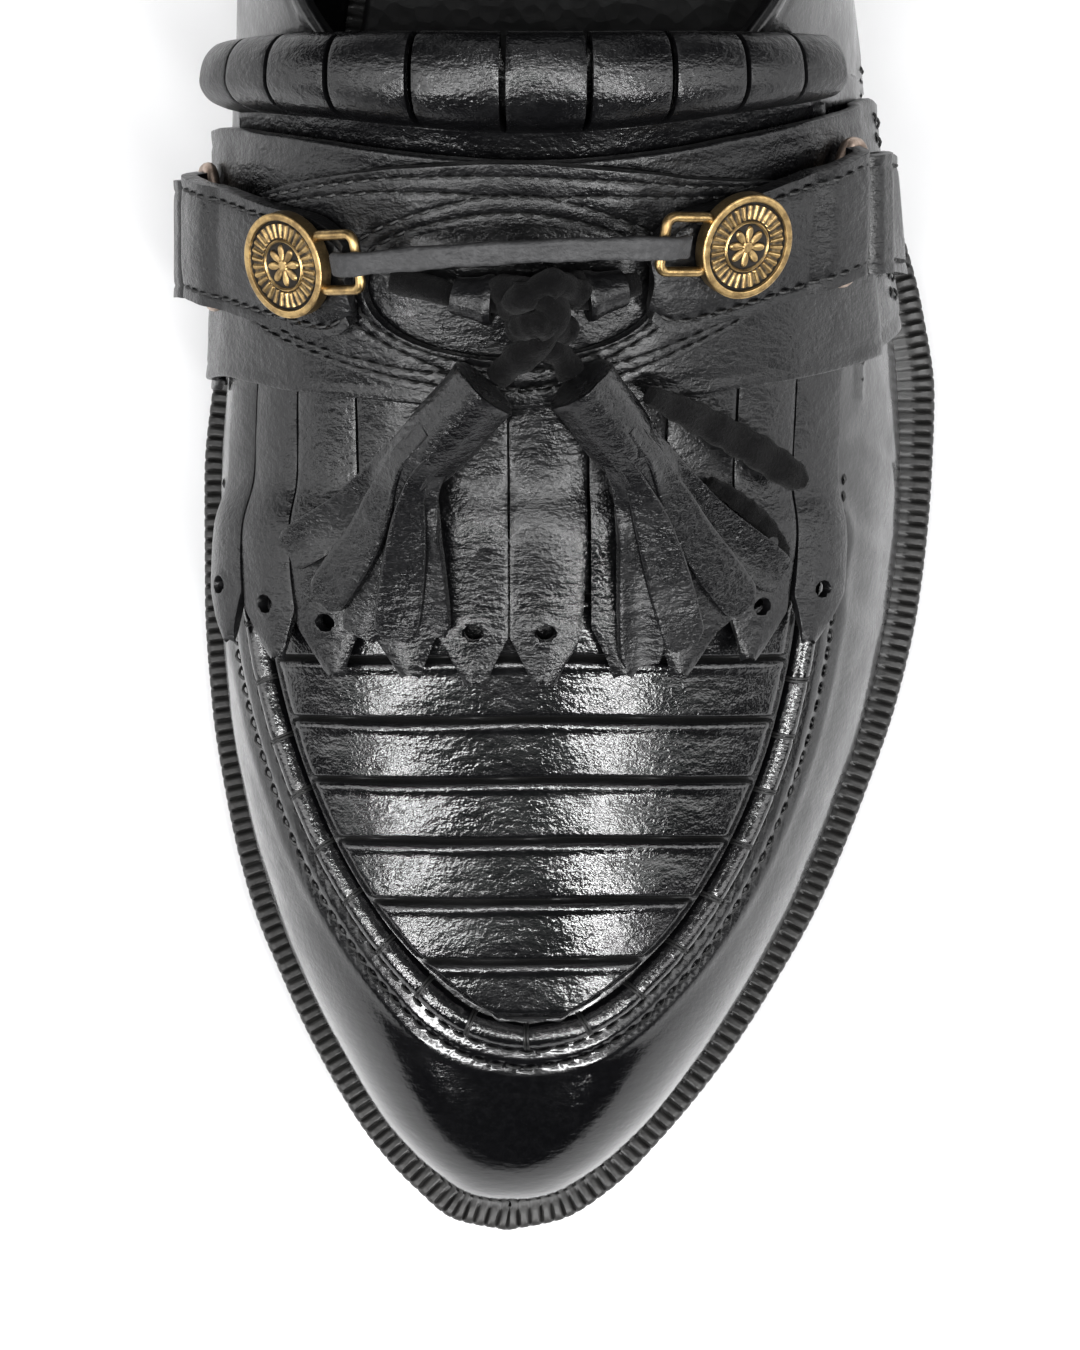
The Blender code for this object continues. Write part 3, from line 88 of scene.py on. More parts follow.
def flowing(at: Array | float, knots: Sequence[float], values: Sequence[float]) -> Array:
    """A smooth line through knots with no overshoot.

    Args:
        at: Where the line is wanted.
        knots: Rising places of the values.
        values: The line's values there.

    Returns:
        The line's values at the wanted places.
    """
    at, knots, values = (np.asarray(a, float) for a in (at, knots, values))
    step = np.diff(knots)
    slope = np.diff(values) / step
    same = slope[:-1] * slope[1:] > 0
    mean = np.zeros(len(slope) - 1)
    before, after = 2 * step[1:] + step[:-1], step[1:] + 2 * step[:-1]
    mean[same] = (before + after)[same] / (before[same] / slope[:-1][same] + after[same] / slope[1:][same])
    tangent = np.concatenate([slope[:1], mean, slope[-1:]])
    at = np.clip(at, knots[0], knots[-1])
    i = np.clip(np.searchsorted(knots, at, side="right") - 1, 0, len(step) - 1)
    t = (at - knots[i]) / step[i]
    rise = (3 - 2 * t) * t * t
    bend = step[i] * t * (1 - t) * ((1 - t) * tangent[i] - t * tangent[i + 1])
    return values[i] * (1 - rise) + values[i + 1] * rise + bend


def bell(distance: Array | float, width: float) -> Array:
    """A soft bump of height 1 at distance 0 that is gone at about twice its width."""
    return np.exp(-((np.asarray(distance) / width) ** 2))


def ease(value: Array | float, low: float, high: float) -> Array:
    """A smooth step from 0 at low to 1 at high."""
    t = np.clip((np.asarray(value, float) - low) / (high - low), 0, 1)
    return t * t * (3 - 2 * t)


def unit(vectors: Array) -> Array:
    """Vectors at length 1, along their last axis."""
    return vectors / np.linalg.norm(vectors, axis=-1, keepdims=True).clip(1e-12)


def runs(points: Array) -> Array:
    """Distance of each point from the first, along the line through them."""
    return np.concatenate([[0], np.cumsum(np.linalg.norm(np.diff(points, axis=0), axis=1))])


def full_turn(count: int) -> Array:
    """Evenly spaced angles of one full turn, the last short of the first."""
    return np.linspace(0, 2 * math.pi, count, endpoint=False)


def waves(across: Array, along: Array, seed: float, scale: float) -> Array:
    """A gentle unevenness between about -1 and 1, the same on every run.

    Args:
        across: First coordinate, in metres.
        along: Second coordinate, in metres.
        seed: A number that changes the pattern.
        scale: Distance between swells, in metres.

    Returns:
        The unevenness.
    """
    total = np.zeros(np.broadcast(across, along).shape)
    for k in range(5):
        angle, pace = seed * 1.7 + k * 2.4, (1 + 0.37 * k) * 2 * math.pi / scale
        turned = (across * math.cos(angle) + along * math.sin(angle)) * pace
        total = total + np.sin(turned + seed * (k + 1)) / (1 + 0.4 * k)
    return total / 2.4


@dataclass(frozen=True)
class Last:
    """The last: sizes and tables that give the sole's and the upper's shape, as the solids have them."""

    length: float = 0.298
    ball_width: float = 0.1065
    instep_height: float = 0.0955
    back_height: float = 0.090
    heel_height: float = 0.025
    toe_spring: float = 0.014
    toe_swing: float = 0.0054
    toe_swing_reach: float = 0.1000
    wall: float = 0.0022
    gap: float = 0.0003
    outsole_thick: float = 0.0050
    welt_thick: float = 0.0028
    welt_band: float = 0.0100
    welt_shows: float = 0.0036
    insole_thick: float = 0.0030
    insole_clearance: float = 0.0010
    top_piece_thick: float = 0.0060
    heel_front: float = 0.2260
    heel_taper: float = 0.96
    tuck_height: float = 0.0300
    heel_lean_top: float = 0.0040
    heel_lean_low: float = 0.0015
    heel_widest_height: float = 0.0500
    throat: float = 0.1585
    throat_bow: float = 0.0030
    apron_front: float = 0.0295
    apron_width: float = 0.0780
    sole: dict[str, Array] = kept_table(
        "along medial lateral",
        (0, 0, 0), (0.005, 0.07, 0.07), (0.02, 0.13, 0.135), (0.0436, 0.198, 0.195), (0.0805, 0.273, 0.271),
        (0.119, 0.335, 0.334), (0.158, 0.387, 0.389), (0.207, 0.428, 0.441), (0.255, 0.453, 0.484),
        (0.305, 0.464, 0.513), (0.362, 0.465, 0.529), (0.403, 0.455, 0.533), (0.446, 0.425, 0.515),
        (0.503, 0.355, 0.468), (0.56, 0.302, 0.415), (0.621, 0.28, 0.37), (0.688, 0.283, 0.343),
        (0.755, 0.298, 0.33), (0.822, 0.312, 0.328), (0.879, 0.315, 0.325), (0.926, 0.29, 0.3),
        (0.96, 0.238, 0.248), (0.983, 0.163, 0.173), (0.996, 0.08, 0.085), (1, 0, 0),
    )
    upper: dict[str, Array] = kept_table(
        "along medial lateral",
        (0.0125, 0, 0), (0.0175, 0.062, 0.062), (0.029, 0.112, 0.113), (0.05, 0.176, 0.173),
        (0.085, 0.247, 0.243), (0.122, 0.308, 0.303), (0.161, 0.358, 0.356), (0.209, 0.401, 0.407),
        (0.256, 0.427, 0.447), (0.306, 0.438, 0.473), (0.362, 0.438, 0.486), (0.416, 0.43, 0.478),
        (0.47, 0.424, 0.452), (0.52, 0.421, 0.43), (0.57, 0.415, 0.418), (0.621, 0.394, 0.398),
        (0.68, 0.368, 0.374), (0.74, 0.345, 0.355), (0.805, 0.333, 0.343), (0.87, 0.328, 0.338),
        (0.923, 0.303, 0.315), (0.956, 0.253, 0.264), (0.979, 0.18, 0.19), (0.993, 0.09, 0.096), (0.9975, 0, 0),
    )
    under: dict[str, Array] = kept_table(
        "along toe heel",
        (0, 1, 0), (0.06, 0.72, 0), (0.14, 0.38, 0), (0.22, 0.08, 0), (0.28, 0, 0), (0.395, 0, 0),
        (0.45, 0, 0.08), (0.55, 0, 0.38), (0.65, 0, 0.7), (0.74, 0, 0.9), (0.85, 0, 0.97), (1, 0, 1),
    )
    crest: dict[str, Array] = kept_table(
        "along height",
        (0.0125, 0.225), (0.0165, 0.298), (0.024, 0.352), (0.038, 0.402), (0.06, 0.444), (0.085, 0.475),
        (0.12, 0.508), (0.17, 0.547), (0.22, 0.583), (0.27, 0.628), (0.32, 0.682), (0.37, 0.742), (0.42, 0.81),
        (0.47, 0.883), (0.52, 0.962), (0.545, 1), (0.62, 1.2), (0.7, 1.38), (0.8, 1.52), (1, 1.6),
    )
    topline: dict[str, Array] = kept_table(
        "along height",
        (0.5319, 1.062), (0.533, 1), (0.535, 0.95), (0.542, 0.915), (0.57, 0.888), (0.62, 0.868), (0.68, 0.855),
        (0.74, 0.85), (0.8, 0.858), (0.86, 0.885), (0.92, 0.93), (0.97, 0.978), (1, 1),
    )
    sections: dict[str, Array] = kept_table(
        "along medial lateral ridge",
        (0, 2.3, 2.2, 0), (0.1, 2.4, 2.1, 0.002), (0.2, 2.55, 1.92, -0.008), (0.3, 2.55, 1.88, -0.016),
        (0.42, 2.4, 2, -0.018), (0.54, 2.35, 2.2, -0.016), (0.7, 2.4, 2.4, 0), (1, 2.4, 2.4, 0.005),
    )
    apron: dict[str, Array] = kept_table(
        "back half",
        (0, 0), (0.0015, 0.042), (0.007, 0.105), (0.03, 0.212), (0.0645, 0.312), (0.105, 0.392), (0.147, 0.447),
        (0.189, 0.48), (0.24, 0.497), (0.29, 0.5),
    )

    @property
    def box_middle(self) -> float:
        """How far across the middle of the sole's box lies."""
        return self.ball_width * (self.sole["lateral"].max() - self.sole["medial"].max()) / 2

    def outline(self, rows: Mapping[str, Array], count: int) -> tuple[Array, Array, Array]:
        """An outline's stations, closer together at its round ends.

        Args:
            rows: The outline's table.
            count: How many stations.

        Returns:
            Places along, and the medial and lateral half widths there, in metres.
        """
        steps = np.linspace(0, len(rows["along"]) - 1, count)
        index = np.arange(len(rows["along"]))
        along, medial, lateral = (flowing(steps, index, rows[c]) for c in ("along", "medial", "lateral"))
        return along * self.length, medial * self.ball_width, lateral * self.ball_width

    def half_width(self, rows: Mapping[str, Array], along: Array | float, side: Side) -> Array:
        """Half width of an outline on one side at places along the shoe."""
        line = self.outline(rows, 600)
        return np.interp(along, line[0], line[1] if side is Side.MEDIAL else line[2])

    def underside(self, along: Array | float) -> Array:
        """Height of the outsole's underside: toe spring, flat ball, arch and heel seat."""
        share = np.asarray(along) / self.length
        toe = flowing(share, self.under["along"], self.under["toe"]) * self.toe_spring
        return toe + flowing(share, self.under["along"], self.under["heel"]) * self.heel_height

    def welt_top(self, along: Array | float) -> Array:
        """Height of the welt's upper face."""
        return self.underside(along) + self.outsole_thick + self.gap + self.welt_thick

    def feather(self, along: Array | float) -> Array:
        """Height of the upper's lower edge."""
        return self.welt_top(along) + self.gap

    def line_of(self, along: Array | float) -> Array:
        """The line across the shoe that the apron, kiltie and saddle are centred on."""
        share = np.asarray(along) / self.length
        return flowing(share, self.sections["along"], self.sections["ridge"]) * self.ball_width

    def feather_inset(self, along: Array | float) -> Array:
        """How far the upper's lower edge stands in from the sole's edge."""
        share = np.asarray(along) / self.length
        return self.welt_shows * flowing(share, [0.0, 0.35, 0.52, 0.75, 1.0], [1.0, 0.9, 0.5, 0.45, 0.45])

    def rib(self, along: float, side: Side, shares: Array) -> Array:
        """One side of the upper's section, as points (across, along, height).

        Args:
            along: Where the section is cut.
            side: Which side.
            shares: Shares of the section's girth, from the lower edge (0) to its top (1).

        Returns:
            A point for each share.
        """
        low = float(self.feather(along))
        high = float(flowing(along / self.length, self.crest["along"], self.crest["height"])) * self.instep_height
        power = float(flowing(along / self.length, self.sections["along"], self.sections[side.word]))
        centre = float(self.line_of(along))
        sign = side.value
        widest = float(self.half_width(self.upper, along, side)) - sign * centre
        foot = float(self.half_width(self.sole, along, side) - self.feather_inset(along)) - sign * centre
        tuck = max(0.0, 1 - foot / widest) if widest > 1e-6 and along > 0.3 * self.length else 0.0
        reach = max(high - low, 1e-5)
        last = math.pi / 2
        if along > self.topline["along"][0] * self.length:
            edge = flowing(along / self.length, self.topline["along"], self.topline["height"]) * self.back_height
            last = math.asin(min(1.0, (edge - low) / reach) ** (power / 2))
        turn = np.linspace(0, last, 96)
        rise = reach * np.sin(turn) ** (2 / power)
        out = widest * np.cos(turn).clip(0, 1) ** (2 / power)
        out *= 1 - tuck * (1 - np.minimum(rise / self.tuck_height, 1)) ** 2
        back = np.clip((along / self.length - 0.80) / 0.20, 0, 1) ** 2
        above = (low + rise - self.heel_widest_height) / (self.back_height - self.heel_widest_height)
        lean = np.where(above > 0, self.heel_lean_top, self.heel_lean_low) * above**2 * back
        near = flowing(along / self.length, [0.42, 0.53, 0.64], [0, 1, 0]) * np.minimum(rise / self.tuck_height, 1)
        bow = self.throat_bow * near * (out / (0.37 * self.ball_width)) ** 2
        rib = np.stack([centre + sign * out, along - lean + bow, low + rise], 1)
        girth = runs(rib)
        return np.stack([np.interp(np.asarray(shares) * girth[-1], girth, rib[:, k]) for k in range(3)], 1)

    def apron_half(self, along: Array | float) -> Array:
        """Half width of the apron's seam at places along the shoe."""
        back = (np.asarray(along) - self.apron_front) / self.length
        return flowing(back, self.apron["back"], self.apron["half"]) * self.apron_width


class Skin:
    """The upper's outer face ahead of the throat, as a table to look places up in."""

    def __init__(self, last: Last) -> None:
        """Works the table out.

        Args:
            last: The shoe's sizes.
        """
        self.last = last
        stations = last.outline(last.upper, 240)[0]
        self.stations = np.append(stations[stations < last.throat + 0.003], last.throat + 0.006)
        self.girths = np.linspace(-1, 1, 121)
        shares = np.linspace(0, 1, 61)
        points = []
        for along in self.stations:
            inside = min(along, last.topline["along"][0] * last.length)
            medial, lateral = (last.rib(inside, side, shares) for side in Side)
            rib = np.concatenate([medial, lateral[::-1][1:]])
            rib[:, 1] += along - inside
            points.append(rib)
        self.points = np.array(points)
        self.normals = unit(np.cross(np.gradient(self.points, axis=1), np.gradient(self.points, axis=0)))

    def at(self, along: Array | float, girth: Array | float, lift: Array | float = 0.0) -> Array:
        """Points on the face, lifted off it along its normal.

        Args:
            along: Places along the shoe.
            girth: Girth shares.
            lift: Heights over the face.

        Returns:
            Points (across, along, height).
        """
        along, girth, lift = np.broadcast_arrays(*(np.asarray(a, float) for a in (along, girth, lift)))
        i = np.clip(np.searchsorted(self.stations, along) - 1, 0, len(self.stations) - 2)
        j = np.clip(np.searchsorted(self.girths, girth) - 1, 0, len(self.girths) - 2)
        s = ((along - self.stations[i]) / (self.stations[i + 1] - self.stations[i]))[..., None]
        t = ((girth - self.girths[j]) / (self.girths[j + 1] - self.girths[j]))[..., None]
        found = []
        for grid in (self.points, self.normals):
            near = (1 - t) * grid[i, j] + t * grid[i, j + 1]
            far = (1 - t) * grid[i + 1, j] + t * grid[i + 1, j + 1]
            found.append((1 - s) * near + s * far)
        return found[0] + unit(found[1]) * lift[..., None]

    def girth_at(self, along: Array | float, across: Array | float) -> Array:
        """Girth shares of the face's points at places seen from above."""
        along, across = np.broadcast_arrays(np.asarray(along, float), np.asarray(across, float))
        found = np.empty(along.size)
        for k, (a, c) in enumerate(zip(along.ravel(), across.ravel())):
            i = int(np.clip(np.searchsorted(self.stations, a), 1, len(self.stations) - 1))
            t = (a - self.stations[i - 1]) / (self.stations[i] - self.stations[i - 1])
            row = (1 - t) * self.points[i - 1, :, 0] + t * self.points[i, :, 0]
            found[k] = np.interp(c, np.maximum.accumulate(row), self.girths)
        return found.reshape(along.shape)

    def over(self, along: Array | float, across: Array | float, lift: Array | float) -> Array:
        """Points above the face at places seen from above."""
        return self.at(along, self.girth_at(along, across), lift)

    def spot(self, along: float, across: float, lift: float) -> tuple[Array, Array, Array, float]:
        """The point at a height over the face that is seen from above at a place.

        Args:
            along: Place along the shoe, as seen.
            across: Place across the shoe, as seen.
            lift: Height over the face.

        Returns:
            The point, the face's up direction, its direction around the shoe, and the girth share.
        """
        girths = np.linspace(-0.95, 0.95, 381)
        station, girth = along, 0.0
        for _ in range(6):
            row = self.at(station, girths, lift)
            girth = float(np.interp(across, np.maximum.accumulate(row[:, 0]), girths))
            station += along - float(self.at(station, girth, lift)[1])
        point = self.at(station, girth, lift)
        up = (self.at(station, girth, lift + 0.001) - point) / 0.001
        around = self.at(station, girth + 0.005) - self.at(station, girth - 0.005)
        around -= up * around.dot(up)
        return point, unit(up), unit(around), girth

    def path(self, rows: Sequence[Sequence[float]], count: int) -> tuple[Array, Array]:
        """A smooth line through places as seen from above.

        Args:
            rows: Places as (along, across, lift).
            count: How many points the line gets.

        Returns:
            The line's points and the up directions there.
        """
        line = smooth_line(np.array(rows, float), count)
        found = [self.spot(*row) for row in line]
        return np.array([f[0] for f in found]), np.array([f[1] for f in found])


def smooth_line(rows: Array, count: int) -> Array:
    """A smooth line through given points.

    Args:
        rows: The given points.
        count: How many points the line gets.

    Returns:
        The line's points, evenly spaced.
    """
    at = runs(rows)
    fine = np.linspace(0, at[-1], count)
    return np.stack([flowing(fine, at, rows[:, k]) for k in range(rows.shape[1])], 1)


LAST = Last()
SKIN = Skin(LAST)


def to_world(points: Array) -> Array:
    """Shoe places (across, along, height) in the shared frame, with the toe swung to the medial side."""
    moved = np.asarray(points, float) - np.array([LAST.box_middle, LAST.length / 2, 0])
    ahead = np.clip(1 - (moved[..., 1] + LAST.length / 2) / LAST.toe_swing_reach, 0, None)
    moved[..., 0] -= LAST.toe_swing * ahead**2.2
    return moved


def grid_faces(rows: int, columns: int, wrap: bool = False, start: int = 0) -> list[tuple[int, ...]]:
    """Faces of a grid of points given row by row.

    Args:
        rows: How many rows.
        columns: How many columns.
        wrap: Whether the last column joins the first.
        start: Number of the grid's first point.

    Returns:
        The faces.
    """
    last = columns if wrap else columns - 1
    return [
        (
            start + r * columns + c,
            start + r * columns + (c + 1) % columns,
            start + (r + 1) * columns + (c + 1) % columns,
            start + (r + 1) * columns + c,
        )
        for r in range(rows - 1)
        for c in range(last)
    ]


def quads_of(numbers: Array) -> Array:
    """Faces of a grid of point numbers, by row and column."""
    return np.stack([numbers[:-1, :-1], numbers[:-1, 1:], numbers[1:, 1:], numbers[1:, :-1]], -1)


def closing(rows: int, columns: int) -> list[tuple[int, ...]]:
    """Faces that join the last row of a wrapped grid to its first."""
    last = (rows - 1) * columns
    return [(last + k, last + (k + 1) % columns, (k + 1) % columns, k) for k in range(columns)]


def caps(rows: int, columns: int) -> list[tuple[int, ...]]:
    """Faces that close the first and the last row of a wrapped grid."""
    return [tuple(range(columns))[::-1], tuple((rows - 1) * columns + k for k in range(columns))]


def make_mesh(
    name: str, points: Array, faces: Sequence[Sequence[int]], marks: Mapping[str, Array] | None = None
) -> bpy.types.Mesh:
    """A mesh from shoe places.

    Args:
        name: The mesh's name.
        points: Points (across, along, height).
        faces: Faces as point numbers.
        marks: Values for each point that the materials read, by name.

    Returns:
        The mesh, with outward normals and smooth shading.
    """
    mesh = bpy.data.meshes.new(name)
    mesh.from_pydata(to_world(points).tolist(), [], [tuple(int(k) for k in f) for f in faces])
    for mark, values in (marks or {}).items():
        layer = mesh.attributes.new(mark, "FLOAT", "POINT")
        layer.data.foreach_set("value", np.asarray(values, np.float32).ravel())
    made = bmesh.new()
    made.from_mesh(mesh)
    loose = [v for v in made.verts if not v.link_faces]
    bmesh.ops.delete(made, geom=loose, context="VERTS")
    bmesh.ops.recalc_face_normals(made, faces=made.faces)
    made.to_mesh(mesh)
    made.free()
    mesh.shade_smooth()
    mesh.set_sharp_from_angle(angle=math.radians(50))
    return mesh


def place_object(name: str, data: bpy.types.ID) -> bpy.types.Object:
    """Puts a new object into the scene."""
    made = bpy.data.objects.new(name, data)
    bpy.context.scene.collection.objects.link(made)
    return made


def add_piece(
    name: str, mesh: bpy.types.Mesh, material: bpy.types.Material, slot: str, *nodes: str
) -> bpy.types.Object:
    """Puts a mesh into the scene as a piece of the shoe.

    Args:
        name: The piece's name.
        mesh: Its mesh.
        material: Its finish.
        slot: Its material slot's name, which only goes into the log.
        nodes: The CAD nodes that it stands for.

    Returns:
        The piece.
    """
    mesh.materials.clear()
    mesh.materials.append(material)
    piece = place_object(name, mesh)
    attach(piece, "root")
    if nodes:
        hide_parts(*nodes)
    LOG.info("%s: %d faces, slot %s, stands for %s", name, len(mesh.polygons), slot, ", ".join(nodes) or "no node")
    return piece


def outward(mesh: bpy.types.Mesh) -> bpy.types.Mesh:
    """Turns an open sheet's faces so that they look away from the foot."""
    away = [Vector((f.center.x + LAST.box_middle, 0, f.center.z - 0.03)) for f in mesh.polygons]
    if sum(f.normal.dot(a) * f.area for f, a in zip(mesh.polygons, away)) < 0:
        mesh.flip_normals()
    return mesh


def thicken(piece: bpy.types.Object, thick: float, rounding: float, offset: float = 1.0) -> bpy.types.Object:
    """Gives an open sheet its leather thickness and rounds its cut edges.

    Args:
        piece: The sheet.
        thick: The leather's thickness.
        rounding: Radius of the cut edges, or 0 for none.
        offset: 1 to thicken outward, -1 inward.

    Returns:
        The piece.
    """
    wall = piece.modifiers.new("thickness", "SOLIDIFY")
    wall.thickness = thick
    wall.offset = offset
    wall.use_even_offset = False
    if rounding > 0:
        edge = piece.modifiers.new("rounded_edges", "BEVEL")
        edge.width = rounding
        edge.segments = 2
        edge.limit_method = "ANGLE"
        edge.angle_limit = math.radians(55)
        edge.harden_normals = False
    return piece


def frames_along(path: Array, ups: Array) -> tuple[Array, Array]:
    """Side and up directions at each point of a path, near the given ups."""
    ahead = unit(np.gradient(path, axis=0))
    side = unit(np.cross(ahead, ups))
    return side, np.cross(side, ahead)


def tube(path: Array, ups: Array, profile: Array, closed: bool = False) -> tuple[Array, list[tuple[int, ...]]]:
    """A solid swept along a path.

    Args:
        path: The path's points.
        ups: The up directions there.
        profile: Points (side, up) of the section, in metres, the same for all points or one set for each.
        closed: Whether the path's end joins its start.

    Returns:
        The solid's points and faces.
    """
    side, up = frames_along(path, ups)
    if closed:
        ahead = unit(np.roll(path, -1, axis=0) - np.roll(path, 1, axis=0))
        side = unit(np.cross(ahead, ups))
        up = np.cross(side, ahead)
    profile = np.broadcast_to(profile, (len(path), *np.shape(profile)[-2:]))
    rings = path[:, None] + side[:, None] * profile[..., :1] + up[:, None] * profile[..., 1:]
    count, size = rings.shape[:2]
    points = rings.reshape(-1, 3)
    faces = grid_faces(count, size, wrap=True)
    if closed:
        faces += closing(count, size)
    else:
        faces += caps(count, size)
    return points, faces


def round_profile(radius: float, sides: int = 12, flat: float = 1.0) -> Array:
    """A round or oval section of a given radius; flat is its height as a share of its width."""
    turn = full_turn(sides)
    return np.stack([radius * np.cos(turn), radius * flat * np.sin(turn)], 1)


def strap_profile(width: float, thick: float, rounding: float, columns: int = 7) -> Array:
    """A flat section with rounded edges.

    Args:
        width: Its width.
        thick: Its thickness.
        rounding: Radius of its edges.
        columns: Points across each broad face.

    Returns:
        Points (side, up) round the section.
    """
    half, high, r = width / 2, thick / 2, min(rounding, thick * 0.48)
    across = np.linspace(-(half - r), half - r, columns)
    top = np.stack([across, np.full(columns, high)], 1)
    slope = r * 0.7071
    near = half - r + slope
    right = np.array([(near, high - r + slope), (half, high - r), (half, r - high), (near, r - high - slope)])
    bottom = np.stack([across[::-1], np.full(columns, -high)], 1)
    left = -right
    return np.concatenate([top, right, bottom, left])


class Parts:
    """Several solids gathered into one mesh."""

    def __init__(self) -> None:
        """Starts empty."""
        self.points: list[Array] = []
        self.faces: list[tuple[int, ...]] = []
        self.marks: dict[str, list[Array]] = {}
        self.count = 0

    def add(self, points: Array, faces: Sequence[Sequence[int]], **marks: Array | float) -> None:
        """Adds a solid, with values for each of its points by name."""
        self.faces += [tuple(k + self.count for k in f) for f in faces]
        self.points.append(points)
        for name, value in marks.items():
            self.marks.setdefault(name, []).append(np.broadcast_to(np.asarray(value, float), (len(points),)))
        self.count += len(points)

    def mesh(self, name: str) -> bpy.types.Mesh:
        """All the solids as one mesh."""
        marks = {k: np.concatenate(v) for k, v in self.marks.items()}
        return make_mesh(name, np.concatenate(self.points), self.faces, marks)


@dataclass(frozen=True)
class Thread:
    """A sewing thread and the stitches that it makes."""

    radius: float = 0.00026
    length: float = 0.0019
    pitch: float = 0.0025
    rise: float = 0.00022

    def sew(self, parts: Parts, path: Array, ups: Array, seed: float = 0.0) -> None:
        """Adds a row of stitches along a path to parts.

        Args:
            parts: Where the stitches go.
            path: Points on the leather's face.
            ups: The face's up directions there.
            seed: A number that changes the small unevenness.
        """
        at = runs(path)
        count = max(1, int(at[-1] / self.pitch))
        for k in range(count):
            middle = (k + 0.5) * at[-1] / count
            wander = 0.06 * math.sin(k * 2.9 + seed)
            shares = np.linspace(-0.5, 0.5, 5)
            places = middle + shares * self.length
            line = np.stack([np.interp(places, at, path[:, c]) for c in range(3)], 1)
            up = unit(np.stack([np.interp(places, at, ups[:, c]) for c in range(3)], 1))
            side = unit(np.cross(line[-1] - line[0], up[2]))
            arch = np.array([-1.6, 0.2, 1.0, 0.2, -1.6]) * self.rise
            line = line + up * arch[:, None] + side * (shares[:, None] * self.length * wander)
            points, faces = tube(line, up, round_profile(self.radius, 6, 0.85))
            parts.add(points, faces)


Value = "Wire | float | Sequence[float]"


class Wire:
    """A node's output, with arithmetic that adds Math nodes."""

    def __init__(self, tree: "Tree", socket: bpy.types.NodeSocket) -> None:
        """Wraps a socket.

        Args:
            tree: The node tree that it is in.
            socket: The output socket.
        """
        self.tree = tree
        self.socket = socket

    def __add__(self, other: Value) -> "Wire":
        """self + other."""
        return self.tree.math("ADD", self, other)

    def __radd__(self, other: Value) -> "Wire":
        """other + self."""
        return self.tree.math("ADD", other, self)

    def __sub__(self, other: Value) -> "Wire":
        """self - other."""
        return self.tree.math("SUBTRACT", self, other)

    def __rsub__(self, other: Value) -> "Wire":
        """other - self."""
        return self.tree.math("SUBTRACT", other, self)

    def __mul__(self, other: Value) -> "Wire":
        """self * other."""
        return self.tree.math("MULTIPLY", self, other)

    def __rmul__(self, other: Value) -> "Wire":
        """other * self."""
        return self.tree.math("MULTIPLY", other, self)

    def __pow__(self, other: Value) -> "Wire":
        """self ** other."""
        return self.tree.math("POWER", self, other)

    def above(self, low: float, high: float) -> "Wire":
        """A smooth step from 0 at low to 1 at high."""
        settings = {"interpolation_type": "SMOOTHSTEP"}
        inputs = {"Value": self, "From Min": low, "From Max": high}
        return self.tree.node("ShaderNodeMapRange", settings, inputs)


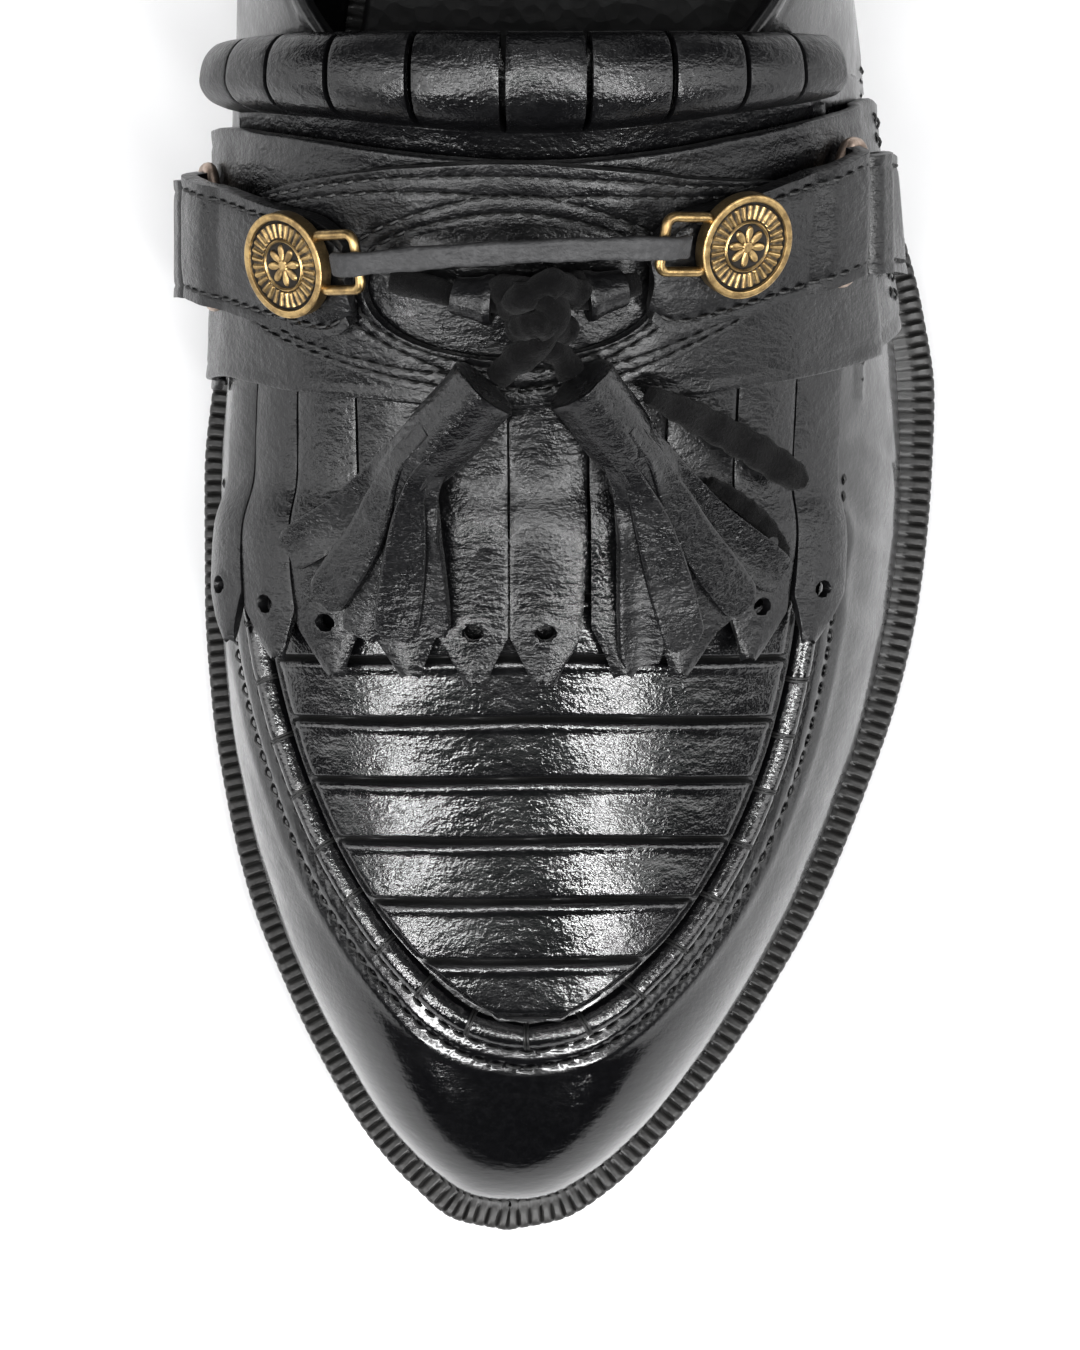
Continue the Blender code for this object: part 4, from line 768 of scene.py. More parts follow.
class Tree:
    """A material's nodes."""

    def __init__(self, name: str) -> None:
        """Starts a material with one Principled shader.

        Args:
            name: The material's name.
        """
        self.material = bpy.data.materials.new(name)
        self.material.use_nodes = True
        self.nodes = self.material.node_tree.nodes
        self.links = self.material.node_tree.links
        self.shader = self.nodes["Principled BSDF"]

    def node(
        self, kind: str, settings: Mapping[str, object], inputs: Mapping[str | int, Value], out: str | int = 0
    ) -> Wire:
        """Adds a node.

        Args:
            kind: The node's type.
            settings: Its properties, set first; stops are a ramp's places and colours.
            inputs: Values or links of its sockets, by name or number.
            out: Which output is wanted.

        Returns:
            The output.
        """
        made = self.nodes.new(kind)
        for key, value in settings.items():
            if key == "stops":
                elements = made.color_ramp.elements
                while len(elements) < len(value):
                    elements.new(0.5)
                for element, (place, shade) in zip(elements, value):
                    element.position = place
                    element.color = (*shade, 1) if len(shade) == 3 else shade
            else:
                setattr(made, key, value)
        for key, value in inputs.items():
            self.feed(made.inputs[key], value)
        return Wire(self, made.outputs[out])

    def feed(self, socket: bpy.types.NodeSocket, value: Value) -> None:
        """Sets a socket to a value or links it."""
        if isinstance(value, Wire):
            self.links.new(value.socket, socket)
        elif isinstance(value, (tuple, list)):
            wanted = len(socket.default_value)
            socket.default_value = tuple(value) + (1,) * (wanted - len(value))
        else:
            socket.default_value = value

    def math(self, operation: str, first: Value, second: Value) -> Wire:
        """A Math node on two values."""
        return self.node("ShaderNodeMath", {"operation": operation}, {0: first, 1: second})

    def mix(self, share: Value, first: Value, second: Value) -> Wire:
        """A colour between two, at a share from 0 to 1."""
        return self.node("ShaderNodeMix", {"data_type": "RGBA"}, {0: share, 6: first, 7: second}, 2)

    def places(self) -> Wire:
        """The surface's places, in metres."""
        return self.node("ShaderNodeTexCoord", {}, {}, "Object")

    def stretched(self, vector: Wire, scale: Sequence[float]) -> Wire:
        """Places with each axis scaled."""
        return self.node("ShaderNodeVectorMath", {"operation": "MULTIPLY"}, {0: vector, 1: tuple(scale)})

    def noise(self, vector: Wire, size: float, detail: float = 3.0, rough: float = 0.55) -> Wire:
        """Noise between 0 and 1 with swells of a size in metres."""
        inputs = {"Vector": vector, "Scale": 1 / size, "Detail": detail, "Roughness": rough}
        return self.node("ShaderNodeTexNoise", {}, inputs, "Fac")

    def cells(self, vector: Wire, size: float, feature: str = "F1") -> Wire:
        """Distance in a cell pattern with cells of a size in metres."""
        inputs = {"Vector": vector, "Scale": 1 / size}
        return self.node("ShaderNodeTexVoronoi", {"feature": feature}, inputs, "Distance")

    def axis(self, vector: Wire, name: str) -> Wire:
        """One of a vector's numbers, X, Y or Z."""
        return self.node("ShaderNodeSeparateXYZ", {}, {0: vector}, name)

    def mark(self, name: str) -> Wire:
        """A value that the mesh holds at its points."""
        return self.node("ShaderNodeAttribute", {"attribute_name": name}, {}, "Fac")

    def bump(self, height: Wire, depth: float, under: Wire | None = None) -> Wire:
        """A normal from a height, with depth in metres for a height of 1."""
        inputs: dict[str | int, Value] = {"Height": height, "Strength": 1.0, "Distance": depth}
        if under:
            inputs["Normal"] = under
        return self.node("ShaderNodeBump", {}, inputs)

    def finish(self, **sockets: Value) -> bpy.types.Material:
        """Sets the shader's sockets, named with _ for a space, and gives the material."""
        for name, value in sockets.items():
            self.feed(self.shader.inputs[name.replace("_", " ")], value)
        return self.material


@dataclass(frozen=True)
class Calf:
    """Polished black calf: fine grain, creases, a wax shine that varies, and painted shade where a recess mark is set.
    """

    name: str
    dark: Colour = (0.0020, 0.0020, 0.0024)
    worn: Colour = (0.011, 0.011, 0.012)
    shine: float = 0.20
    dull: float = 0.42
    grain_size: float = 0.00085
    grain_depth: float = 0.000045
    wrinkle_depth: float = 0.00010
    wax: float = 0.35
    toe_shine: float = 0.0
    gloss: float = 0.40

    def material(self) -> bpy.types.Material:
        """The finish as a material.

        Returns:
            The material.
        """
        tree = Tree(self.name)
        places = tree.places()
        wander = tree.noise(places, 0.004, 2.0)
        thrice = tree.node("ShaderNodeCombineXYZ", {}, {0: wander, 1: wander, 2: wander})
        push = tree.stretched(thrice, (0.0006, -0.0006, 0.0004))
        bent = tree.node("ShaderNodeVectorMath", {"operation": "ADD"}, {0: places, 1: push})
        grain = tree.cells(bent, self.grain_size, "SMOOTH_F1")
        pores = tree.cells(bent, self.grain_size * 0.45)
        folds = tree.noise(tree.stretched(bent, (1.0, 2.3, 1.0)), 0.0028, 4.0, 0.62)
        cloud = tree.noise(places, 0.016, 4.0, 0.6)
        fine = tree.noise(places, 0.0011, 3.0, 0.7)
        wear = tree.mark("wear")
        recess = tree.mark("recess")
        toe = tree.axis(places, "Y").above(-0.108, -0.128) if self.toe_shine else None
        calm = 1 - toe * 0.8 if toe else 1.0
        height = (grain * 0.75 + pores * 0.35) * calm
        crease = tree.bump(folds, self.wrinkle_depth)
        normal = tree.bump(height, self.grain_depth, crease)
        rough = cloud.above(0.30, 0.72) * (self.dull - self.shine) + self.shine
        rough = rough + (fine - 0.5) * 0.10 + wear * 0.18 + recess * 0.5
        if toe:
            rough = rough * (1 - toe * self.toe_shine)
        colour = tree.mix(fine.above(0.35, 0.85) * 0.35 + wear * 0.5, self.dark, self.worn)
        # Where a recess mark is set (the pleats' grooves), the base colour goes to near black: painted shade. The same
        # mark also roughens the leather there and takes off its coat.
        return tree.finish(
            Base_Color=tree.mix(recess, colour, (0.0008, 0.0008, 0.0008)), Roughness=rough, Normal=normal,
            Coat_Weight=(1 - recess) * self.wax, Coat_Roughness=0.08 if self.toe_shine else 0.22,
            Specular_IOR_Level=self.gloss,
        )


@dataclass(frozen=True)
class SoleEdge:
    """Black edge-dressed sole leather, with its layers and a burnished edge."""

    name: str
    dark: Colour = (0.0060, 0.0058, 0.0056)
    worn: Colour = (0.040, 0.038, 0.036)
    layer: float = 0.0

    def material(self) -> bpy.types.Material:
        """The finish as a material.

        Returns:
            The material.
        """
        tree = Tree(self.name)
        places = tree.places()
        fibre = tree.noise(tree.stretched(places, (1.0, 1.0, 6.0)), 0.0016, 4.0, 0.7)
        cloud = tree.noise(places, 0.011, 4.0, 0.6)
        wear = tree.mark("wear")
        height = fibre
        if self.layer:
            lines = tree.node(
                "ShaderNodeMath", {"operation": "PINGPONG"}, {0: tree.axis(places, "Z"), 1: self.layer / 2}
            )
            height = fibre * 0.5 - (1 - (lines * (2 / self.layer)).above(0.0, 0.12)) * 2.0
        colour = tree.mix(fibre.above(0.45, 0.80) * 0.5 + wear * 0.6, self.dark, self.worn)
        rough = 0.34 + cloud * 0.22 + wear * 0.15
        normal = tree.bump(height, 0.00010)
        return tree.finish(
            Base_Color=colour, Roughness=rough, Normal=normal, Coat_Weight=0.15, Coat_Roughness=0.25
        )


@dataclass(frozen=True)
class Napped:
    """Black suede, whose nap lies in patches."""

    name: str
    dark: Colour = (0.0020, 0.0019, 0.0021)
    light: Colour = (0.0068, 0.0066, 0.0070)

    def material(self) -> bpy.types.Material:
        """The finish as a material.

        Returns:
            The material.
        """
        tree = Tree(self.name)
        places = tree.places()
        nap = tree.noise(places, 0.00055, 5.0, 0.75)
        patch = tree.noise(places, 0.0022, 3.0, 0.6)
        colour = tree.mix((nap * 0.6 + patch * 0.4).above(0.42, 0.72), self.dark, self.light)
        return tree.finish(
            Base_Color=colour, Roughness=0.86 + nap * 0.12, Normal=tree.bump(nap, 0.00032), Specular_IOR_Level=0.1,
            Sheen_Weight=0.06, Sheen_Roughness=0.5,
        )


@dataclass(frozen=True)
class AgedMetal:
    """Antiqued metal: bright where it is rubbed, dark in its recesses."""

    name: str
    bright: Colour
    dull: Colour
    dark: Colour = (0.012, 0.009, 0.006)
    shine: float = 0.26

    def material(self) -> bpy.types.Material:
        """The finish as a material.

        Returns:
            The material.
        """
        tree = Tree(self.name)
        places = tree.places()
        cloud = tree.noise(places, 0.0016, 5.0, 0.65)
        scratch = tree.noise(tree.stretched(places, (1.0, 6.0, 3.0)), 0.0007, 3.0, 0.6)
        recess = tree.mark("recess")
        metal = tree.mix(cloud.above(0.35, 0.68), self.bright, self.dull)
        dirt = (recess + (cloud - 0.5) * 0.7).above(0.30, 0.70)
        colour = tree.mix(dirt, metal, self.dark)
        rough = self.shine + cloud * 0.18 + dirt * 0.35
        return tree.finish(
            Base_Color=colour, Roughness=rough, Metallic=1 - dirt * 0.75,
            Normal=tree.bump(cloud * 0.6 + scratch * 0.4, 0.00005),
        )


@dataclass(frozen=True)
class Plain:
    """A plain matt or satin material with a little unevenness: rubber, thread, lining or floor."""

    name: str
    dark: Colour
    light: Colour
    rough: float = 0.7
    grain_size: float = 0.0012
    grain_depth: float = 0.00005

    def material(self) -> bpy.types.Material:
        """The finish as a material.

        Returns:
            The material.
        """
        tree = Tree(self.name)
        places = tree.places()
        grain = tree.cells(places, self.grain_size)
        cloud = tree.noise(places, self.grain_size * 9, 5.0, 0.65)
        colour = tree.mix(cloud.above(0.35, 0.70), self.dark, self.light)
        normal = tree.bump(grain * 0.6 + cloud * 0.8, self.grain_depth)
        return tree.finish(Base_Color=colour, Roughness=self.rough + (cloud - 0.5) * 0.15, Normal=normal)


class Finishes:
    """Every finish on the shoe, made once."""

    def __init__(self) -> None:
        """Makes the materials."""
        self.upper = Calf("upper_calf", toe_shine=0.55, wax=0.45).material()
        self.pleats = Calf(
            "pleated_calf", shine=0.11, dull=0.24, grain_depth=0.00008, wrinkle_depth=0.00014, wax=0.20, gloss=0.62
        ).material()
        self.kiltie = Calf(
            "kiltie_calf", shine=0.15, dull=0.36, grain_depth=0.00010, wrinkle_depth=0.00026, wax=0.08, gloss=0.45
        ).material()
        self.strap = Calf(
            "strap_leather_grained", shine=0.20, dull=0.40, grain_depth=0.00010, wrinkle_depth=0.00030, wax=0.10,
            gloss=0.42,
        ).material()
        self.tassel = Calf(
            "tassel_leather", shine=0.14, dull=0.32, grain_depth=0.00010, wrinkle_depth=0.00036, wax=0.15, gloss=0.46
        ).material()
        self.thong = Calf(
            "thong_worn", worn=(0.075, 0.075, 0.077), shine=0.38, dull=0.60, grain_depth=0.00012,
            wrinkle_depth=0.0003, wax=0.0,
        ).material()
        self.edge = SoleEdge("sole_edge").material()
        self.stack = SoleEdge("heel_stack_edge", layer=0.0042).material()
        self.rubber = Plain("heel_rubber_matt", (0.008, 0.008, 0.008), (0.016, 0.016, 0.016), 0.75).material()
        self.lining = Plain(
            "lining_crinkled", (0.006, 0.006, 0.006), (0.016, 0.016, 0.017), 0.48, 0.0022, 0.00022
        ).material()
        self.thread = Plain(
            "waxed_thread", (0.003, 0.003, 0.003), (0.010, 0.010, 0.010), 0.5, 0.0004, 0.00006
        ).material()
        self.suede = Napped("suede_nap").material()
        self.brass = AgedMetal("antique_brass_rubbed", (0.42, 0.305, 0.15), (0.20, 0.14, 0.07)).material()
        self.bronze = AgedMetal("aged_bronze_rubbed", (0.46, 0.37, 0.31), (0.24, 0.185, 0.15), shine=0.34).material()


@dataclass
class Sole:
    """Outsole, ribbed welt, stacked heel with its rubber top piece, and the insole."""

    finishes: Finishes
    edge_length: float = 0.735
    rib_pitch: float = 0.0018
    rib_depth: float = 0.00050
    rib_steps: int = 8
    edge_round: float = 0.0006

    def slab(
        self,
        name: str,
        line: tuple[Array, Array, Array],
        low: Callable[[Array], Array],
        high: Callable[[Array], Array],
        taper: float = 1.0,
        dish: float = 0.0,
    ) -> bpy.types.Mesh:
        """A solid between two heights inside an outline.

        Args:
            name: The mesh's name.
            line: Places along with the medial and lateral half widths.
            low: Height of the underside at places along.
            high: Height of the top at places along.
            taper: Size of the underside as a share of the top's.
            dish: How far the top's middle is hollowed.

        Returns:
            The mesh.
        """
        along, medial, lateral = line
        middle = (along[0] + along[-1]) / 2
        across = np.sin(np.linspace(-1, 1, 19) * math.pi / 2)
        rounding = [(1.0, 0.0), (0.62, 0.38), (0.29, 0.71), (0.0, 1.0)]
        rings = []
        for y, m, l in zip(along, np.maximum(medial, 0.0006), np.maximum(lateral, 0.0006)):
            floor_y = middle + (y - middle) * taper
            base, top = float(low(floor_y)), float(high(y))
            r = min(self.edge_round, (top - base) * 0.4, m * 0.9, l * 0.9)
            ring = []
            spread = np.where(across < 0, across * (m - r), across * (l - r))
            ring += [(x * taper, floor_y, base) for x in spread]
            for inset, rise in rounding[1:3]:
                ring.append(((l - r * inset) * taper, floor_y, base + r * rise))
            ring += [(l * taper, floor_y, base + r), (l, y, top - r)]
            for inset, rise in rounding[2:0:-1]:
                ring.append((l - r * inset, y, top - r * rise))
            ring += [(x, y, top - dish * (1 - a * a)) for x, a in zip(spread[::-1], across[::-1])]
            for inset, rise in rounding[1:3]:
                ring.append((-(m - r * inset), y, top - r * rise))
            ring += [(-m, y, top - r), (-m * taper, floor_y, base + r)]
            for inset, rise in rounding[2:0:-1]:
                ring.append((-(m - r * inset) * taper, floor_y, base + r * rise))
            rings.append(ring)
        rings = np.array(rings)
        count, size = rings.shape[:2]
        faces = grid_faces(count, size, wrap=True) + caps(count, size)
        return make_mesh(name, rings.reshape(-1, 3), faces)

    def edge_loop(self, count: int) -> tuple[Array, Array]:
        """The sole's edge as an evenly spaced closed loop.

        Args:
            count: How many points.

        Returns:
            The points (across, along) and the inward directions.
        """
        along, medial, lateral = LAST.outline(LAST.sole, 900)
        loop = np.concatenate([np.stack([lateral, along], 1)[:-1], np.stack([-medial, along], 1)[::-1]])
        at = runs(loop)
        fine = np.linspace(0, at[-1], count, endpoint=False)
        points = np.stack([np.interp(fine, at, loop[:, k]) for k in range(2)], 1)
        ahead = np.roll(points, -4, axis=0) - np.roll(points, 4, axis=0)
        return points, unit(np.stack([-ahead[:, 1], ahead[:, 0]], 1))

    def welt(self) -> bpy.types.Mesh:
        """The welt's band with its ribs, as one ring."""
        count = int(self.edge_length / self.rib_pitch) * self.rib_steps
        points, inward = self.edge_loop(count)
        phase = np.arange(count) % self.rib_steps
        groove = np.select([phase == 0, (phase == 1) | (phase == self.rib_steps - 1)], [1.0, 0.45], 0.0)
        rib_number = np.arange(count) // self.rib_steps
        groove = groove * (0.85 + 0.3 * np.abs(np.sin(rib_number * 1.7)))
        thick, band = LAST.welt_thick, LAST.welt_band
        section = [
            (0.0001, 0.0, 0.0), (-0.0001, 0.30, 0.25), (-0.0001, 0.62, 0.6), (0.0001, 0.86, 0.9), (0.0005, 0.99, 1.0),
            (0.0011, 1.0, 1.0), (0.0018, 1.0, 1.0), (0.0024, 1.0, 0.9), (0.0029, 0.97, 0.5), (0.0034, 0.95, 0.0),
            (band, 0.95, 0.0), (band, 0.0, 0.0),
        ]
        rings = []
        for inset, rise, ribbed in section:
            x = points[:, 0] + inward[:, 0] * (inset + groove * ribbed * 0.00016)
            y = points[:, 1] + inward[:, 1] * (inset + groove * ribbed * 0.00016)
            z = LAST.welt_top(points[:, 1]) - thick * (1 - rise) - groove * ribbed * self.rib_depth
            rings.append(np.stack([x, y, z], 1))
        grid = np.stack(rings, 1)
        wear = np.stack([(1 - groove) * ribbed * 0.35 for _, _, ribbed in section], 1)
        size = len(section)
        faces = grid_faces(count, size, wrap=True) + closing(count, size)
        return make_mesh("welt_ribbed", grid.reshape(-1, 3), faces, {"wear": wear.reshape(-1)})

    def heel_line(self, scale: float, inset: float = 0.0006) -> tuple[Array, Array, Array]:
        """The sole's outline behind the heel's front, scaled about its middle and drawn in."""
        along, medial, lateral = LAST.outline(LAST.sole, 300)
        kept = along >= LAST.heel_front
        middle = (along[kept][0] + along[-1]) / 2
        half = (along[-1] - along[kept][0]) / 2
        drawn = scale * (1 - inset / half)
        sides = [np.maximum(w[kept] * scale - np.minimum(inset, w[kept] / 3), 0.0006) for w in (medial, lateral)]
        return middle + (along[kept] - middle) * drawn, sides[0], sides[1]

    def build(self) -> None:
        """Makes the sole's pieces."""
        line = LAST.outline(LAST.sole, 220)
        gap, thick = LAST.gap, LAST.outsole_thick
        outsole = self.slab("outsole_edge_dressed", line, LAST.underside, lambda y: LAST.underside(y) + thick)
        add_piece("outsole_edge_dressed", outsole, self.finishes.edge, "sole_leather", "outsole")
        add_piece("welt_ribbed", self.welt(), self.finishes.edge, "sole_leather", "welt")
        foot = LAST.heel_taper + (1 - LAST.heel_taper) * LAST.top_piece_thick / LAST.heel_height
        low, high = (lambda y: LAST.top_piece_thick + gap), (lambda y: LAST.underside(y) - gap)
        stack = self.slab("heel_stack_layers", self.heel_line(1.0), low, high, foot)
        add_piece("heel_stack_layers", stack, self.finishes.stack, "sole_leather", "heel_stack")
        low, high = (lambda y: 0.0), (lambda y: LAST.top_piece_thick)
        rubber = self.slab("heel_rubber_piece", self.heel_line(foot), low, high, LAST.heel_taper / foot)
        add_piece("heel_rubber_piece", rubber, self.finishes.rubber, "heel_rubber", "heel_top_piece")
        inner = LAST.outline(LAST.upper, 180)
        inset = LAST.wall + LAST.insole_clearance
        sides = []
        for side in Side:
            sole = LAST.half_width(LAST.sole, inner[0], side) - LAST.feather_inset(inner[0])
            width = np.minimum(LAST.half_width(LAST.upper, inner[0], side), sole).clip(0)
            sides.append(np.maximum(width - np.minimum(inset, width / 3), 0.0006))
        middle, half = (inner[0][0] + inner[0][-1]) / 2, (inner[0][-1] - inner[0][0]) / 2
        along = middle + (inner[0] - middle) * (1 - inset / half)
        base = lambda y: LAST.welt_top(y) + gap
        sock = self.slab("insole_sock", (along, *sides), base, lambda y: base(y) + LAST.insole_thick, dish=0.0006)
        add_piece("insole_sock", sock, self.finishes.lining, "lining_leather", "insole")


@dataclass(frozen=True)
class Crease:
    """A soft trough in the leather, with a low ridge beside it, from one place to another."""

    start: tuple[float, float]
    end: tuple[float, float]
    width: float = 0.0016
    depth: float = 0.00035
    bow: float = 0.0

    def relief(self, along: Array, girth: Array, scale: float = 0.082) -> Array:
        """Height that the crease adds at places.

        Args:
            along: Places along the shoe.
            girth: Girth shares.
            scale: Metres for a girth share of 1.

        Returns:
            Heights in metres.
        """
        a, b = np.array([self.start[0], self.start[1] * scale]), np.array([self.end[0], self.end[1] * scale])
        ahead = b - a
        length = np.linalg.norm(ahead)
        ahead = ahead / length
        away = np.stack([along - a[0], girth * scale - a[1]], -1)
        t = (away @ ahead) / length
        aside = away @ np.array([-ahead[1], ahead[0]]) - self.bow * np.clip(4 * t * (1 - t), 0, 1)
        fade = ease(t, -0.12, 0.25) * ease(-t, -1.12, -0.75)
        return fade * self.depth * (0.55 * bell(aside - self.width * 1.3, self.width) - bell(aside, self.width))


@dataclass
class Upper:
    """Vamp, tongue and quarters as one hollow wall, with its seams, creases and stitches."""

    finishes: Finishes
    columns: int = 64
    creases: tuple[Crease, ...] = (
        Crease((0.104, 0.60), (0.100, 0.88), 0.0022, 0.00040, 0.002),
        Crease((0.112, 0.58), (0.110, 0.84), 0.0018, 0.00034, -0.002),
        Crease((0.093, 0.64), (0.088, 0.90), 0.0026, 0.00030, 0.002),
        Crease((0.105, -0.66), (0.102, -0.90), 0.0022, 0.00034, -0.001),
        Crease((0.094, -0.66), (0.090, -0.88), 0.0024, 0.00028, 0.002),
        Crease((0.168, 0.72), (0.176, 0.90), 0.0026, 0.00040, 0.002),
        Crease((0.172, -0.74), (0.182, -0.92), 0.0026, 0.00036, -0.002),
        Crease((0.186, 0.62), (0.205, 0.74), 0.0030, 0.00036, 0.001),
        Crease((0.188, -0.64), (0.208, -0.76), 0.0030, 0.00034, 0.001),
    )
    topline_bead: float = 0.0024
    back_strip: float = 0.0080
    seam_lateral: tuple[tuple[float, float], ...] = (
        (0.1175, 0.635), (0.130, 0.655), (0.145, 0.70), (0.1575, 0.78), (0.168, 0.90)
    )
    seam_medial: tuple[tuple[float, float], ...] = (
        (0.1175, -0.68), (0.130, -0.70), (0.145, -0.745), (0.1575, -0.82), (0.168, -0.92)
    )
    grids: dict[Side, Array] = field(default_factory=dict)
    ups: dict[Side, Array] = field(default_factory=dict)
    above: dict[Side, Array] = field(default_factory=dict)

    def stations(self) -> Array:
        """Places of the upper's sections, close together at the toe, the throat and the heel."""
        ends = LAST.outline(LAST.upper, 420)[0]
        throat = LAST.topline["along"][0] * LAST.length
        front = ends[ends < 0.16 * LAST.length]
        vamp = np.linspace(0.1605 * LAST.length, throat - 0.0002, 128)
        step = np.array([0.0, 0.00033, 0.0009])
        quarters = np.linspace(throat + 0.0014, 0.90 * LAST.length, 70)
        heel = ends[ends > 0.9 * LAST.length + 0.0005]
        return np.concatenate([front, vamp, throat + step, quarters, heel])

    def seam_distance(self, along: Array, girth: Array, seam: Sequence[tuple[float, float]]) -> Array:
        """Distance in metres from a seam line on the quarters, positive towards the heel."""
        knots = np.array(seam)
        order = np.argsort(np.abs(knots[:, 1]))
        line = flowing(np.abs(girth), np.abs(knots[order, 1]), knots[order, 0])
        inside = ease(np.abs(girth), abs(knots[0, 1]) - 0.03, abs(knots[0, 1]) + 0.01)
        return np.where(inside > 0.5, along - line, 1.0)

    def apron_distance(self, across: Array, along: Array) -> Array:
        """Distance outward from the apron's seam as seen from above, negative inside it."""
        path = Apron.path(240)
        places = np.stack([across.ravel(), along.ravel()], 1)
        found = np.full(len(places), 1.0)
        near = places[:, 1] < 0.125
        chosen = places[near]
        best = np.full(len(chosen), 1.0)
        for c, a in zip(path[:, 1], path[:, 0]):
            best = np.minimum(best, np.hypot(chosen[:, 0] - c, chosen[:, 1] - a))
        half = LAST.apron_half(chosen[:, 1])
        inside = (np.abs(chosen[:, 0] - LAST.line_of(chosen[:, 1])) < half) & (chosen[:, 1] > LAST.apron_front)
        found[near] = np.where(inside, -best, best)
        return found.reshape(across.shape)

    def relief(self, grid: Array, along: Array, share: Array, side: Side, to_top: Array) -> Array:
        """Height of the upper's detail over its plain form.

        Args:
            grid: The plain form's points, by station and column.
            along: Station of each point.
            share: Share of the girth of each point, 1 at the top.
            side: Which side.
            to_top: Distance from each point to its section's top.

        Returns:
            Heights in metres.
        """
        girth = side.value * (1 - share)
        away = self.apron_distance(grid[..., 0], grid[..., 1])
        fade = 1 - ease(along, 0.098, 0.112)
        seam = 0.00042 * bell(away - 0.0033, 0.0008) - 0.00034 * bell(away - 0.0024, 0.0005)
        seam += 0.00028 * bell(away - 0.0056, 0.0008) - 0.00040 * bell(away - 0.0046, 0.0005)
        seam -= 0.00030 * ease(-away, 0.0008, 0.0022)
        total = fade * seam
        for crease in self.creases:
            if np.sign(crease.start[1]) == side.value:
                total = total + crease.relief(along, girth)
        heel_side = self.seam_distance(along, girth, self.seam_lateral if side is Side.LATERAL else self.seam_medial)
        total = total + 0.00045 * ease(heel_side, -0.0002, 0.0004) * (1 - ease(heel_side, 0.010, 0.050))
        total = total - 0.00022 * bell(heel_side - 0.0020, 0.0004)
        behind = ease(along, LAST.throat + 0.002, LAST.throat + 0.010)
        bead = 0.00045 * bell(to_top - 0.0010, 0.0016) - 0.00035 * bell(to_top - self.topline_bead - 0.0008, 0.0005)
        total = total + behind * bead
        strip = np.abs(grid[..., 0] - 0.0006)
        at_heel = ease(along, 0.955 * LAST.length, 0.965 * LAST.length)
        total = total + at_heel * (0.0007 * (1 - ease(strip, self.back_strip, self.back_strip + 0.0006)))
        total = total - at_heel * 0.0003 * bell(strip - self.back_strip + 0.0020, 0.0004)
        lows = 0.00007 * waves(grid[..., 0] + grid[..., 2], along, 1.3, 0.034)
        lows += 0.00003 * waves(grid[..., 0] - grid[..., 2], along, 2.1, 0.011)
        calm = ease(along, 0.020, 0.060) * (1 - fade * ease(-away, -0.001, 0.002))
        low_edge = ease(share, 0.0, 0.02)
        return (total + lows * calm) * low_edge

    def build(self) -> None:
        """Makes the wall and its stitches."""
        stations = self.stations()
        shares = np.linspace(0, 1, self.columns)
        throat = LAST.topline["along"][0] * LAST.length
        front = stations <= throat + 1e-9
        plain: dict[Side, Array] = {}
        for side in Side:
            plain[side] = np.array([LAST.rib(a, side, shares) for a in stations])
            normal = np.cross(np.gradient(plain[side], axis=1), np.gradient(plain[side], axis=0))
            self.ups[side] = unit(normal) * (1 if side is Side.MEDIAL else -1)
        joined = unit(self.ups[Side.MEDIAL][:, -1] + self.ups[Side.LATERAL][:, -1])
        for end in (0, -1):
            seam = unit(self.ups[Side.MEDIAL][end] + self.ups[Side.LATERAL][end])
            for side in Side:
                self.ups[side][end] = seam
        wall, wears, index = [], [], {}
        total = 0
        for side in Side:
            self.ups[side][front, -1] = joined[front]
            grid = plain[side]
            steps = np.linalg.norm(np.diff(grid, axis=1), axis=2)
            to_top = np.concatenate([np.cumsum(steps[:, ::-1], axis=1)[:, ::-1], np.zeros((len(stations), 1))], 1)
            self.above[side] = to_top
            along = np.repeat(stations[:, None], self.columns, 1)
            share = np.repeat(shares[None], len(stations), 0)
            rise = self.relief(grid, along, share, side, to_top)
            self.grids[side] = grid + self.ups[side] * rise[..., None]
            numbers = np.arange(total, total + grid.shape[0] * grid.shape[1]).reshape(grid.shape[:2])
            index[side] = numbers
            wall.append(self.grids[side].reshape(-1, 3))
            wears.append(np.clip(rise * 600, 0, 0.4).reshape(-1))
            total += numbers.size
        lateral = index[Side.LATERAL]
        lateral[front, -1] = index[Side.MEDIAL][front, -1]
        lateral[0], lateral[-1] = index[Side.MEDIAL][0], index[Side.MEDIAL][-1]
        faces = []
        for numbers in index.values():
            faces += quads_of(numbers).reshape(-1, 4).tolist()
        mesh = outward(make_mesh("upper_calf", np.concatenate(wall), faces, {"wear": np.concatenate(wears)}))
        piece = add_piece("upper_calf", mesh, self.finishes.upper, "upper_leather", "upper")
        thicken(piece, LAST.wall, 0.0, -1.0)
        add_piece("stitches_upper", self.stitches(stations), self.finishes.thread, "upper_leather")

    def on_wall(self, side: Side, station: Array, above: Array, stations: Array) -> tuple[Array, Array]:
        """Points on the finished wall at distances below its top edge.

        Args:
            side: Which side.
            station: Places along the shoe.
            above: Distance from the top edge at each place.
            stations: The wall's own stations.

        Returns:
            The points and the up directions there.
        """
        points, ups = [], []
        for a, d in zip(station, above):
            i = int(np.clip(np.searchsorted(stations, a), 1, len(stations) - 1))
            t = (a - stations[i - 1]) / (stations[i] - stations[i - 1])
            for source, into in ((self.grids[side], points), (self.ups[side], ups)):
                rows = []
                for k in (i - 1, i):
                    to_top = self.above[side][k][::-1]
                    rows.append([np.interp(d, to_top, source[k][::-1, c]) for c in range(3)])
                into.append(np.array(rows[0]) * (1 - t) + np.array(rows[1]) * t)
        return np.array(points), unit(np.array(ups))

